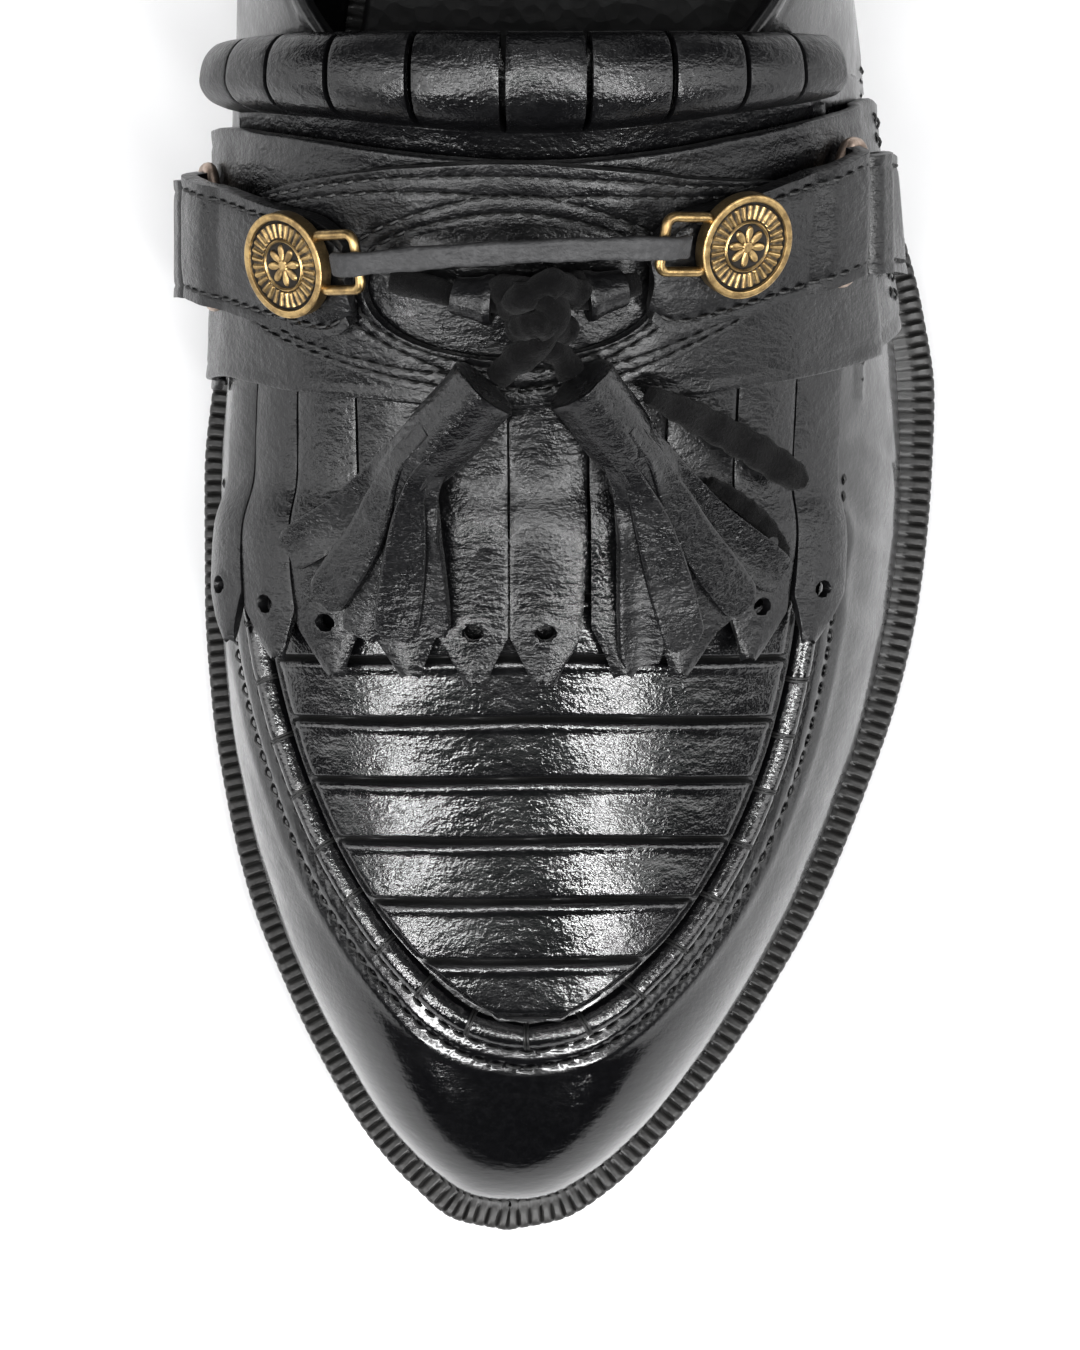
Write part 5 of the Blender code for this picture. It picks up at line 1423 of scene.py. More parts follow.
    def stitches(self, stations: Array) -> bpy.types.Mesh:
        """The rows of stitches on the upper, as one mesh."""
        parts = Parts()
        thread = Thread()
        for away in (0.0024, 0.0046):
            path = Apron.path(400, 0.108)
            side_way = np.gradient(path, axis=0)
            normal = unit(np.stack([side_way[:, 1], -side_way[:, 0]], 1))
            out = path - normal * away
            middle = np.array([0.07, LAST.line_of(0.07)])
            flip = np.linalg.norm(out - middle, axis=1) < np.linalg.norm(path - middle, axis=1)
            out[flip] = (path - (out - path))[flip]
            points = SKIN.over(out[:, 0], out[:, 1], 0.00002)
            above = SKIN.over(out[:, 0], out[:, 1], 0.002)
            thread.sew(parts, points, unit(above - points), away * 1000)
        for side, seam in ((Side.LATERAL, self.seam_lateral), (Side.MEDIAL, self.seam_medial)):
            for behind in (0.0020, 0.0042):
                knots = smooth_line(np.array(seam), 60)
                girth, along = knots[:, 1], knots[:, 0] + behind
                kept = along < LAST.throat + 0.004
                points = SKIN.at(along[kept], girth[kept], 0.00012)
                above = SKIN.at(along[kept], girth[kept], 0.003)
                thread.sew(parts, points, unit(above - points), behind * 900)
            along = np.linspace(LAST.throat + 0.012, LAST.length * 0.985, 150)
            points, ups = self.on_wall(side, along, np.full(150, self.topline_bead + 0.0008), stations)
            thread.sew(parts, points, ups, side.value)
            heights = np.linspace(0.006, 0.052, 40)
            near = np.full(40, 0.972 * LAST.length)
            points, ups = self.on_wall(side, near, heights, stations)
            thread.sew(parts, points + ups * 0.0001, ups, side.value + 3)
        return parts.mesh("stitches_upper")


@dataclass
class Apron:
    """The moccasin front: the raised roll with its thread wraps, and the pleated panel inside it."""

    finishes: Finishes
    roll_width: float = 0.0036
    roll_rise: float = 0.0021
    wrap_pitch: float = 0.0082
    pleat_pitch: float = 0.00835
    pleat_first: float = 0.0405
    panel_thick: float = 0.0013
    groove_depth: float = 0.0011
    ridge_rise: float = 0.00022

    @staticmethod
    def path(count: int, end: float = 0.1000) -> Array:
        """The apron's seam from the medial side round the toe to the lateral side, as (along, across)."""
        turn = np.linspace(-1, 1, count)
        along = LAST.apron_front + (end - LAST.apron_front) * np.abs(turn) ** 2
        return np.stack([along, np.sign(turn) * LAST.apron_half(along) + LAST.line_of(along)], 1)

    def roll(self) -> None:
        """Makes the roll, pinched under each wrap, and the wraps."""
        rough = self.path(500)
        ground = SKIN.over(rough[:, 0], rough[:, 1], LAST.gap)
        at = runs(ground)
        fine = np.linspace(0, at[-1], 620)
        path = np.stack([np.interp(fine, at, rough[:, k]) for k in range(2)], 1)
        ground = SKIN.over(path[:, 0], path[:, 1], LAST.gap)
        for _ in range(6):
            ground[1:-1] = (ground[:-2] + 2 * ground[1:-1] + ground[2:]) / 4
        above = SKIN.over(path[:, 0], path[:, 1], LAST.gap + 0.01)
        ups = unit(above - ground)
        wraps = np.arange(self.wrap_pitch * 0.6, at[-1], self.wrap_pitch)
        near = np.min(np.abs(fine[:, None] - wraps[None]), axis=1)
        size = 1 - 0.060 * bell(near, 0.0007) + 0.010 * np.sin(fine * 700)
        turn = np.linspace(-0.12, math.pi + 0.12, 17)
        shape = np.stack([np.cos(turn) * self.roll_width / 2, np.sin(turn) * self.roll_rise], 1)
        shape = np.concatenate([shape, [(-self.roll_width * 0.3, -0.0001), (self.roll_width * 0.3, -0.0001)]])
        points, faces = tube(ground, ups, shape[None] * size[:, None, None])
        roll = make_mesh("apron_roll_wrapped", points, faces, {"wear": np.zeros(len(points))})
        add_piece("apron_roll_wrapped", roll, self.finishes.pleats, "upper_leather", "apron_roll")
        parts = Parts()
        side, up = frames_along(ground, ups)
        for place in wraps:
            k = int(np.clip(np.searchsorted(fine, place), 1, len(fine) - 2))
            for slant in (-0.00022, 0.00022):
                arc = np.linspace(-0.25, math.pi + 0.25, 12)
                across = np.cos(arc)[:, None] * side[k] * (self.roll_width / 2) * 0.945
                high = np.sin(arc)[:, None] * up[k] * self.roll_rise * 0.935
                ahead = unit(ground[k + 1] - ground[k - 1]) * (slant + 0.0003 * np.cos(arc))[:, None]
                line = ground[k] + across + high + ahead
                outward_way = unit(np.cos(arc)[:, None] * side[k] + np.sin(arc)[:, None] * up[k])
                parts.add(*tube(line, outward_way, round_profile(0.00021, 6)))
        add_piece("apron_wraps", parts.mesh("apron_wraps"), self.finishes.thread, "upper_leather")

    def pleat(self, along: Array) -> Array:
        """Height of the panel's pleats at places along the shoe."""
        share = ((along - self.pleat_first) / self.pleat_pitch) % 1.0
        back = share * self.pleat_pitch
        ahead = (1 - share) * self.pleat_pitch
        groove = np.minimum(back, ahead)
        crown = 0.00012 * np.sin(np.pi * share) ** 0.7
        tuck = self.ridge_rise * bell(ahead - 0.00115, 0.00062)
        return crown + tuck - self.groove_depth * bell(groove, 0.00030)

    def panel(self) -> None:
        """Makes the pleated panel."""
        inset = self.roll_width / 2 + 0.0001
        front = LAST.apron_front + inset + 0.0004
        last = self.pleat_first + 7 * self.pleat_pitch + 0.0006
        tip = np.linspace(0, 1, 14)[:-1] ** 1.6 * 0.004 + front
        along = np.concatenate([tip, np.linspace(front + 0.004, last, 330)])
        shares = np.sin(np.linspace(-1, 1, 97) * math.pi / 2 * 0.93) / math.sin(math.pi / 2 * 0.93)
        half = LAST.apron_half(along) - inset * (1 + 3.0 * np.exp(-(along - LAST.apron_front) / 0.006))
        half = np.maximum(half, 0.004)
        a = np.repeat(along[:, None], len(shares), 1)
        across = LAST.line_of(a) + half[:, None] * shares[None]
        edge = np.minimum(half[:, None] * (1 - np.abs(shares[None])), a - front)
        down = 1 - ease(edge, 0.0, 0.0019)
        wander = 0.00005 * waves(across, a, 0.7, 0.016) + 0.00003 * waves(across, a, 2.9, 0.006)
        bend = 0.00012 * np.sin(across * 160 + a * 60)
        pleats = self.pleat(a + bend) * (1 - 0.7 * down)
        top_rise = LAST.gap + self.panel_thick + 0.00025 + pleats + wander - 0.0010 * down
        bed = LAST.gap * (1 + 1.5 * shares[None] ** 4) * np.ones_like(a)
        girth = SKIN.girth_at(a[::6], across[::6])
        rows = np.arange(0, len(along), 6)
        girth = np.stack([np.interp(np.arange(len(along)), rows, girth[:, c]) for c in range(len(shares))], 1)
        top = SKIN.at(a, girth, np.maximum(top_rise, bed + 0.0002))
        bottom = SKIN.at(a, girth, bed)
        rings = np.concatenate([bottom, top[:, ::-1]], 1)
        count, size = rings.shape[:2]
        faces = grid_faces(count, size, wrap=True)
        width = len(shares)
        for start in (0, (count - 1) * size):
            faces += [(start + c, start + c + 1, start + size - 2 - c, start + size - 1 - c) for c in range(width - 1)]
        wear = np.concatenate([np.zeros_like(a), np.clip(down * 0.6, 0, 1)[:, ::-1]], 1)
        share = ((a + bend - self.pleat_first) / self.pleat_pitch) % 1.0
        # The recess mark is the grooves' painted shade: it darkens the base colour in each groove, and also roughens
        # the leather there and takes off its coat.
        groove = bell(np.minimum(share, 1 - share) * self.pleat_pitch, 0.00042) * (1 - down)
        recess = np.concatenate([np.zeros_like(a), groove[:, ::-1]], 1)
        marks = {"wear": wear.reshape(-1), "recess": recess.reshape(-1)}
        mesh = make_mesh("apron_pleats", rings.reshape(-1, 3), faces, marks)
        add_piece("apron_pleats", mesh, self.finishes.pleats, "upper_leather", "apron_panel")

    def build(self) -> None:
        """Makes the apron's pieces."""
        self.roll()
        self.panel()


@dataclass(frozen=True)
class Layers:
    """How high each leather lies over the upper, as the solids have them."""

    panel: float = 0.0018
    roll_rise: float = 0.0021
    kiltie: float = 0.0014
    saddle: float = 0.0017
    overlay: float = 0.0013
    strap: float = 0.0022
    step: float = 0.0006

    def kiltie_lift(self, along: Array, girth: Array) -> Array:
        """Height of the kiltie's underside."""
        along, girth = np.broadcast_arrays(np.asarray(along, float), np.asarray(girth, float))
        gap = LAST.gap
        reach = np.abs(SKIN.at(along, girth)[..., 0] - LAST.line_of(along)) - LAST.apron_half(along)
        ahead = 1 / (1 + np.exp((along - 0.103) / 0.0016))
        hump = np.exp(-((reach / 0.0038) ** 2))
        low = 2 * gap + (self.panel + gap) / (1 + np.exp(reach / 0.0016))
        return gap + ahead * np.maximum(low, hump * (self.roll_rise + 3 * gap) + (1 - hump) * low)

    def kiltie_edges(self, along: Array) -> tuple[Array, Array]:
        """Girth shares of the kiltie's medial and lateral edges."""
        share, knots = np.asarray(along) / LAST.length, [0.26, 0.33, 0.42, 0.50, 0.56]
        medial = flowing(share, knots, [-0.590, -0.620, -0.600, -0.570, -0.560])
        return medial, flowing(share, knots, [0.520, 0.550, 0.535, 0.500, 0.490])

    def saddle_lift(self, along: Array, girth: Array) -> Array:
        """Height of the saddle's underside."""
        medial, lateral = self.kiltie_edges(along)
        beyond = np.maximum(medial - girth, girth - lateral)
        bed = self.kiltie_lift(along, np.clip(girth, medial, lateral)) + self.kiltie + self.step
        return 2 * LAST.gap + (bed - LAST.gap) / (1 + np.exp((beyond - 0.095) / 0.010))

    def overlay_lift(self, along: Array, girth: Array) -> Array:
        """Height of the overlay's underside."""
        return self.saddle_lift(along, girth) + self.saddle + self.step

    def strap_lift(self, along: Array, girth: Array) -> Array:
        """Height of a side strap's underside."""
        return self.overlay_lift(along, girth) + self.overlay + self.step


LAYERS = Layers()
SADDLE = table(
    "girth front back",
    [
        (-0.82, 0.1200, 0.1515), (-0.60, 0.1210, 0.1520), (-0.35, 0.1185, 0.1505), (0.00, 0.1165, 0.1480),
        (0.35, 0.1200, 0.1515), (0.60, 0.1240, 0.1545), (0.80, 0.1280, 0.1570),
    ],
)
OVERLAY = table(
    "girth front back",
    [
        (-0.500, 0.1285, 0.1440), (-0.420, 0.1258, 0.1450), (-0.280, 0.1223, 0.1465), (-0.140, 0.1192, 0.1480),
        (-0.020, 0.1178, 0.1486), (0.090, 0.1195, 0.1480), (0.230, 0.1250, 0.1470), (0.410, 0.1325, 0.1474),
    ],
)


def sew_over(parts: Parts, along: Array, girth: Array | float, lift: Array, seed: float) -> None:
    """Adds a row of stitches at heights over the upper's face."""
    low = SKIN.at(along, girth, lift)
    Thread().sew(parts, low, unit(SKIN.at(along, girth, lift + 0.003) - low), seed)


@dataclass
class Kiltie:
    """The folded sheet: strips with pointed, punched tips in front and a slit roll at its back."""

    finishes: Finishes
    strips: int = 10
    parts: int = 14
    tip: float = 0.0800
    point: float = 0.0062
    slit_end: float = 0.1190
    slit_gap: float = 0.0007
    fold_rise: float = 0.0062
    hole_radius: float = 0.00115
    hole_back: float = 0.0068
    fold: tuple[tuple[float, float, float], ...] = (
        (0.00, 0.0000, 0.00), (0.26, 0.0000, 0.10), (0.44, 0.0000, 0.56), (0.63, 0.0000, 0.88), (0.86, 0.0000, 1.00),
        (1.00, 0.0012, 0.92), (1.00, 0.0027, 0.68), (1.00, 0.0028, 0.47), (1.00, 0.0014, 0.32), (1.00, -0.0010, 0.30),
        (1.00, -0.0045, 0.30),
    )

    def build(self) -> None:
        """Makes the sheet, its strips split along the slits, with a hole near each tip."""
        fringe = np.concatenate([np.linspace(0, 0.016, 36)[:-1], np.linspace(0.016, self.slit_end - self.tip, 44)])
        plain = np.linspace(self.slit_end, 0.1440, 12)[1:]
        index = np.arange(len(self.fold))
        fine = np.linspace(0, len(self.fold) - 1, 66)
        share, past, rise = (flowing(fine, index, np.array(self.fold)[:, k]) for k in range(3))
        points, faces, wears = [], [], []
        count = 0
        rows = len(fringe) + len(plain) + len(fine)
        roll_slit = ease(fine, 1.2, 1.9) * ease(-fine, -8.7, -8.0)
        slit = np.concatenate([np.ones(len(fringe)), np.zeros(len(plain)), roll_slit])
        grids = []
        for strip in range(self.strips):
            outer = abs(strip + 0.5 - self.strips / 2) / (self.strips / 2)
            turn = math.sin(strip * 2.3 + 0.6)
            tip_back = 0.0065 * outer**2 + 0.0006 * turn
            u = np.linspace(0, 1, self.parts + 1)[None]
            forward = self.tip + tip_back * (1 - ease(fringe, 0.012, 0.030)) + fringe
            along = np.concatenate([forward, plain, np.zeros(len(fine))])[:, None] + u * 0
            left, right = LAYERS.kiltie_edges(0.150)
            behind = left + (right - left) * (strip + u[0]) / self.strips
            back = flowing(behind, SADDLE["girth"], SADDLE["back"]) + 0.0012
            folded = back[None] + (LAST.throat - back[None]) * share[:, None] + past[:, None]
            along[-len(fine):] = folded
            near = np.minimum(along, LAST.throat)
            medial, lateral = LAYERS.kiltie_edges(near)
            width = (lateral - medial) / self.strips
            per_metre = 1 / SPREAD
            narrow = np.ones(rows)
            narrow[: len(fringe)] = np.clip(0.10 + 0.90 * (fringe / self.point) ** 0.85, 0, 1)
            open_gap = self.slit_gap * per_metre * slit * (1 + 0.2 * (np.arange(rows) > len(fringe)))
            across = (u - 0.5) * (width - open_gap[:, None]) * narrow[:, None]
            if strip == 0:
                across = np.where(u < 0.5, (u - 0.5) * width * narrow[:, None], across)
            girth = medial + width * (strip + 0.5) + across
            from_tip = np.concatenate([fringe, np.full(rows - len(fringe), 1.0)])[:, None]
            girth = girth + 0.0007 * per_metre * turn * (1 - ease(from_tip, 0.0, 0.022))
            drawn_in = ease(np.concatenate([np.zeros(rows - len(fine)), share]), 0.0, 0.4)[:, None]
            girth = girth * (1 - drawn_in * np.where(girth > 0, 0.11, 0.05))
            lift = LAYERS.kiltie_lift(near, girth)
            curl = 1 - ease(from_tip, 0.0, 0.015)
            crown = (1 - (2 * u - 1) ** 2) * slit[:, None]
            in_fold = (np.arange(rows) >= len(fringe) + len(plain))[:, None]
            lift = lift + curl * (0.0007 + 0.0004 * turn) + crown * np.where(in_fold, 0.00020, 0.00034)
            lift[-len(fine):] += rise[:, None] * self.fold_rise
            lift = lift + 0.00004 * waves(girth * SWELL, along, 1.0 + strip, 0.012) * (0.4 + slit[:, None])
            grids.append((along, girth, lift, from_tip + 0 * u, u + 0 * along, outer))
        for strip, (along, girth, lift, from_tip, u, outer) in enumerate(grids):
            metric = np.stack([(u - 0.5) * 0.0088, from_tip - self.hole_back], -1)
            reach = np.linalg.norm(metric, axis=-1)
            numbers = np.arange(count, count + along.size).reshape(along.shape)
            centre = (reach[:-1, :-1] + reach[1:, 1:] + reach[:-1, 1:] + reach[1:, :-1]) / 4
            keep = centre > self.hole_radius
            touched = np.zeros(along.shape, bool)
            for dr in (0, 1):
                for dc in (0, 1):
                    touched[dr : dr + keep.shape[0], dc : dc + keep.shape[1]] |= ~keep
            factor = np.where(touched, self.hole_radius / np.maximum(reach, 1e-5) - 1, 0.0)
            along = along + metric[..., 1] * factor
            girth = girth + metric[..., 0] * factor / SPREAD
            grid = SKIN.at(along, girth, lift + 0.0002 * bell(reach - self.hole_radius, 0.0007))
            points.append(grid.reshape(-1, 3))
            wears.append(np.full(along.size, 0.10 + 0.55 * outer**2))
            faces += quads_of(numbers)[keep].tolist()
            count += along.size
        mesh = make_mesh("kiltie_strips", np.concatenate(points), faces, {"wear": np.concatenate(wears)})
        made = bmesh.new()
        made.from_mesh(mesh)
        bmesh.ops.remove_doubles(made, verts=made.verts, dist=3e-5)
        bmesh.ops.recalc_face_normals(made, faces=made.faces)
        made.to_mesh(mesh)
        made.free()
        piece = add_piece("kiltie_strips", outward(mesh), self.finishes.kiltie, "kiltie_leather", "kiltie")
        thicken(piece, LAYERS.kiltie, 0.00018)


@dataclass(frozen=True)
class Rings:
    """The oval side rings' sizes, and their middles as (along, girth)."""

    length: float = 0.0205
    width: float = 0.0100
    wire: float = 0.0018
    middles: Mapping[Side, tuple[float, float]] = field(
        default_factory=lambda: {Side.MEDIAL: (0.1386, -0.577), Side.LATERAL: (0.1412, 0.481)}
    )


RINGS = Rings()


@dataclass
class Straps:
    """The saddle, its eye-shaped overlay, the side straps and the anchor tabs, with their stitches."""

    finishes: Finishes
    opening_middle: float = -0.028
    opening_girth: float = 0.185
    opening_front: float = 0.1235
    opening_back: float = 0.1410
    strap_width: float = 0.0150
    anchor_thick: float = 0.0018
    ends: Mapping[Side, tuple[float, float]] = field(
        default_factory=lambda: {Side.MEDIAL: (0.1335, -0.221), Side.LATERAL: (0.1345, 0.140)}
    )
    anchors: Mapping[Side, float] = field(default_factory=lambda: {Side.MEDIAL: -0.75, Side.LATERAL: 0.72})

    def sheet(self, name: str, grid: Array, thick: float, wrap: bool, node: str) -> None:
        """Makes one leather from its underside's points."""
        rows, columns = grid.shape[:2]
        marks = {"wear": np.full(rows * columns, 0.15)}
        mesh = make_mesh(name, grid.reshape(-1, 3), grid_faces(rows, columns, wrap), marks)
        piece = add_piece(name, outward(mesh), self.finishes.strap, "strap_leather", node)
        thicken(piece, thick, 0.0003)

    def saddle(self, parts: Parts) -> None:
        """Makes the saddle and its end stitches."""
        girth = np.linspace(SADDLE["girth"][0], SADDLE["girth"][-1], 240)[None]
        front, back = (flowing(girth, SADDLE["girth"], SADDLE[c]) for c in ("front", "back"))
        share = np.linspace(0, 1, 44)[:, None]
        along = front + (back - front) * share
        edge = np.minimum(along - front, back - along)
        relief = -0.00022 * bell(edge - 0.0019, 0.0004) + 0.00010 * waves(girth * SWELL, along, 0.4, 0.013)
        grid = SKIN.at(along, girth, LAYERS.saddle_lift(along, girth) + relief)
        self.sheet("saddle_band", grid, LAYERS.saddle, False, "saddle")
        top = LAYERS.saddle + 0.00005
        for end in (-0.79, -0.755, 0.735, 0.77):
            a = np.linspace(0.125 if end < 0 else 0.131, 0.150 if end < 0 else 0.155, 60)
            sew_over(parts, a, end, LAYERS.saddle_lift(a, end) + top, end)

    def overlay_place(self, turn: Array, share: Array) -> tuple[Array, Array]:
        """Along and girth on the overlay: share 0 at its opening, 1 at its outer edge."""
        low, high = OVERLAY["girth"][0], OVERLAY["girth"][-1]
        out = (low + high) / 2 + (high - low) / 2 * np.cos(turn)
        front, back = (flowing(out, OVERLAY["girth"], OVERLAY[c]) for c in ("front", "back"))
        rise = np.sign(np.sin(turn)) * np.abs(np.sin(turn)) ** 0.4
        along_out = (front + back) / 2 + (back - front) / 2 * rise
        inner = self.opening_middle + self.opening_girth * np.cos(turn)
        centre, reach = (self.opening_front + self.opening_back) / 2, (self.opening_back - self.opening_front) / 2
        along_in = centre + reach * np.sin(turn)
        return along_in + (along_out - along_in) * share, inner + (out - inner) * share

    def overlay(self, parts: Parts) -> None:
        """Makes the overlay with its double rows of stitches."""
        turn = full_turn(320)[None]
        a0, g0 = self.overlay_place(turn, 0.0)
        a1, g1 = self.overlay_place(turn, 1.0)
        width = np.hypot(a1 - a0, (g1 - g0) * SPREAD)
        share = np.linspace(0, 1, 30)[:, None]
        along, girth = self.overlay_place(turn, share)
        inner, outer = share * width, (1 - share) * width
        rows = ((outer, 0.0016), (outer, 0.0042), (inner, 0.0014), (inner, 0.0036))
        relief = sum(-0.00025 * bell(d - at, 0.0005) for d, at in rows)
        relief = relief + 0.00012 * waves(girth * SWELL, along, 2.2, 0.010)
        grid = SKIN.at(along, girth, LAYERS.overlay_lift(along, girth) + relief)
        self.sheet("saddle_eye", grid, LAYERS.overlay, True, "saddle_overlay")
        fine = np.linspace(0, 2 * math.pi, 700)
        a0, g0 = self.overlay_place(fine, 0.0)
        a1, g1 = self.overlay_place(fine, 1.0)
        width = np.hypot(a1 - a0, (g1 - g0) * SPREAD)
        for at, from_edge in ((0.0016, True), (0.0042, True), (0.0014, False), (0.0036, False)):
            share = np.clip(1 - at / width if from_edge else at / width, 0.02, 0.98)
            a, g = self.overlay_place(fine, share)
            sew_over(parts, a, g, LAYERS.overlay_lift(a, g) + LAYERS.overlay - 0.00004, at * 2000)

    def girth_per_metre(self, side: Side) -> float:
        """Girth share of one metre round the shoe at a side's ring."""
        along, girth = RINGS.middles[side]
        return 0.01 / float(np.linalg.norm(SKIN.at(along, girth + 0.01) - SKIN.at(along, girth)))

    def strap(self, side: Side, parts: Parts) -> None:
        """Makes one side strap, turned down over its ring, with a row of stitches on each edge."""
        (ring_along, ring_girth), (end_along, end_girth) = RINGS.middles[side], self.ends[side]
        away, per = side.value, self.girth_per_metre(side)
        bar = ring_girth - away * (RINGS.width - RINGS.wire) / 2 * per
        high = 5 * LAST.gap
        steps = [(end_girth + (bar - end_girth) * t, 0.0) for t in np.linspace(0, 0.72, 8)]
        steps += [(bar - away * 0.0042 * per, 0.9 * high), (bar - away * 0.0015 * per, high)]
        steps += [(bar + away * 0.0010 * per, high), (bar + away * 0.0021 * per, -LAST.gap)]
        knots = np.array(steps)
        fine = np.concatenate([np.linspace(0, 7, 70)[:-1], np.linspace(7, len(knots) - 1, 34)])
        girth, rise = (flowing(fine, np.arange(len(knots)), knots[:, k]) for k in range(2))
        share = (girth - end_girth) / (bar - end_girth)
        middle = end_along + (ring_along - end_along) * share
        half = self.strap_width / 2 * np.sqrt(1 - (0.75 * np.clip(1 - share / 0.16, 0, 1)) ** 2)
        c = np.sin(np.linspace(-1, 1, 25) * math.pi / 2)[None]
        along = middle[:, None] + half[:, None] * c
        edge = half[:, None] * (1 - np.abs(c))
        crown = 0.00032 * ease(edge, 0.0018, 0.0045) - 0.00025 * bell(edge - 0.0015, 0.0005)
        flat = np.clip(rise[:, None] * 700, 0, 1)
        g = girth[:, None] + 0 * c
        lift = LAYERS.strap_lift(along, g) + rise[:, None] + crown * (1 - flat * 0.4)
        lift = lift + 0.00006 * waves(g * SWELL, along, 3.3, 0.008)
        name = f"strap_{side.word}_padded"
        self.sheet(name, SKIN.at(along, g, lift), LAYERS.strap, False, f"strap_{side.word}")
        for edge_side in (-1, 1):
            kept = (share > 0.03) & (rise < high * 0.98)
            a, gg = (middle + edge_side * (half - 0.0015))[kept], girth[kept]
            lift = LAYERS.strap_lift(a, gg) + rise[kept] + LAYERS.strap - 0.00005
            sew_over(parts, a, gg, lift, edge_side + side.value)

    def anchor(self, side: Side, parts: Parts) -> None:
        """Makes the tab that holds a ring's far bar."""
        ring_along, ring_girth = RINGS.middles[side]
        away, end = side.value, self.anchors[side]
        per = self.girth_per_metre(side)
        bar = ring_girth + away * (RINGS.width - RINGS.wire) / 2 * per
        high = RINGS.wire + 4 * LAST.gap
        bed = 2 * LAST.gap
        rises = ((-0.0019, 0.70 * high), (-0.0010, high), (0.0012, high), (0.0042, 0.35 * high), (0.0065, bed))
        steps = [(bar + away * past * per, rise) for past, rise in rises]
        steps += [((bar + end) / 2, bed), (end, bed)]
        knots = np.array(steps)
        fine = np.linspace(0, len(knots) - 1, 60)
        girth, rise = (flowing(fine, np.arange(len(knots)), knots[:, k]) for k in range(2))
        c = np.sin(np.linspace(-1, 1, 21) * math.pi / 2)[None]
        half = self.strap_width / 2 * 0.96
        along = ring_along + half * c + 0 * girth[:, None]
        g = girth[:, None] + 0 * c
        edge = half * (1 - np.abs(c)) + 0 * g
        lift = LAYERS.overlay_lift(along, g) + rise[:, None] - 0.00022 * bell(edge - 0.0015, 0.0005)
        grid = SKIN.at(along, g, lift)
        self.sheet(f"anchor_{side.word}_tab", grid, self.anchor_thick, False, f"anchor_{side.word}")
        for c_at in (-0.8, 0.8):
            a = np.full(40, ring_along + half * c_at)
            gg = np.linspace(bar + away * 0.0065 * per, end - away * 0.012, 40)
            lift = LAYERS.overlay_lift(a, gg) + 2 * LAST.gap + self.anchor_thick
            sew_over(parts, a, gg, lift, c_at)

    def build(self) -> None:
        """Makes the straps and one mesh of their stitches."""
        parts = Parts()
        self.saddle(parts)
        self.overlay(parts)
        for side in Side:
            self.strap(side, parts)
            self.anchor(side, parts)
        add_piece("stitches_straps", parts.mesh("stitches_straps"), self.finishes.thread, "strap_leather")


def placed(point: Array, across: Array, up: Array) -> Callable[[Array], Array]:
    """A function that puts points drawn flat (x, y, height) at a shoe place."""
    forward = np.cross(up, across)
    return lambda flat: point + flat[..., :1] * across + flat[..., 1:2] * forward + flat[..., 2:] * up


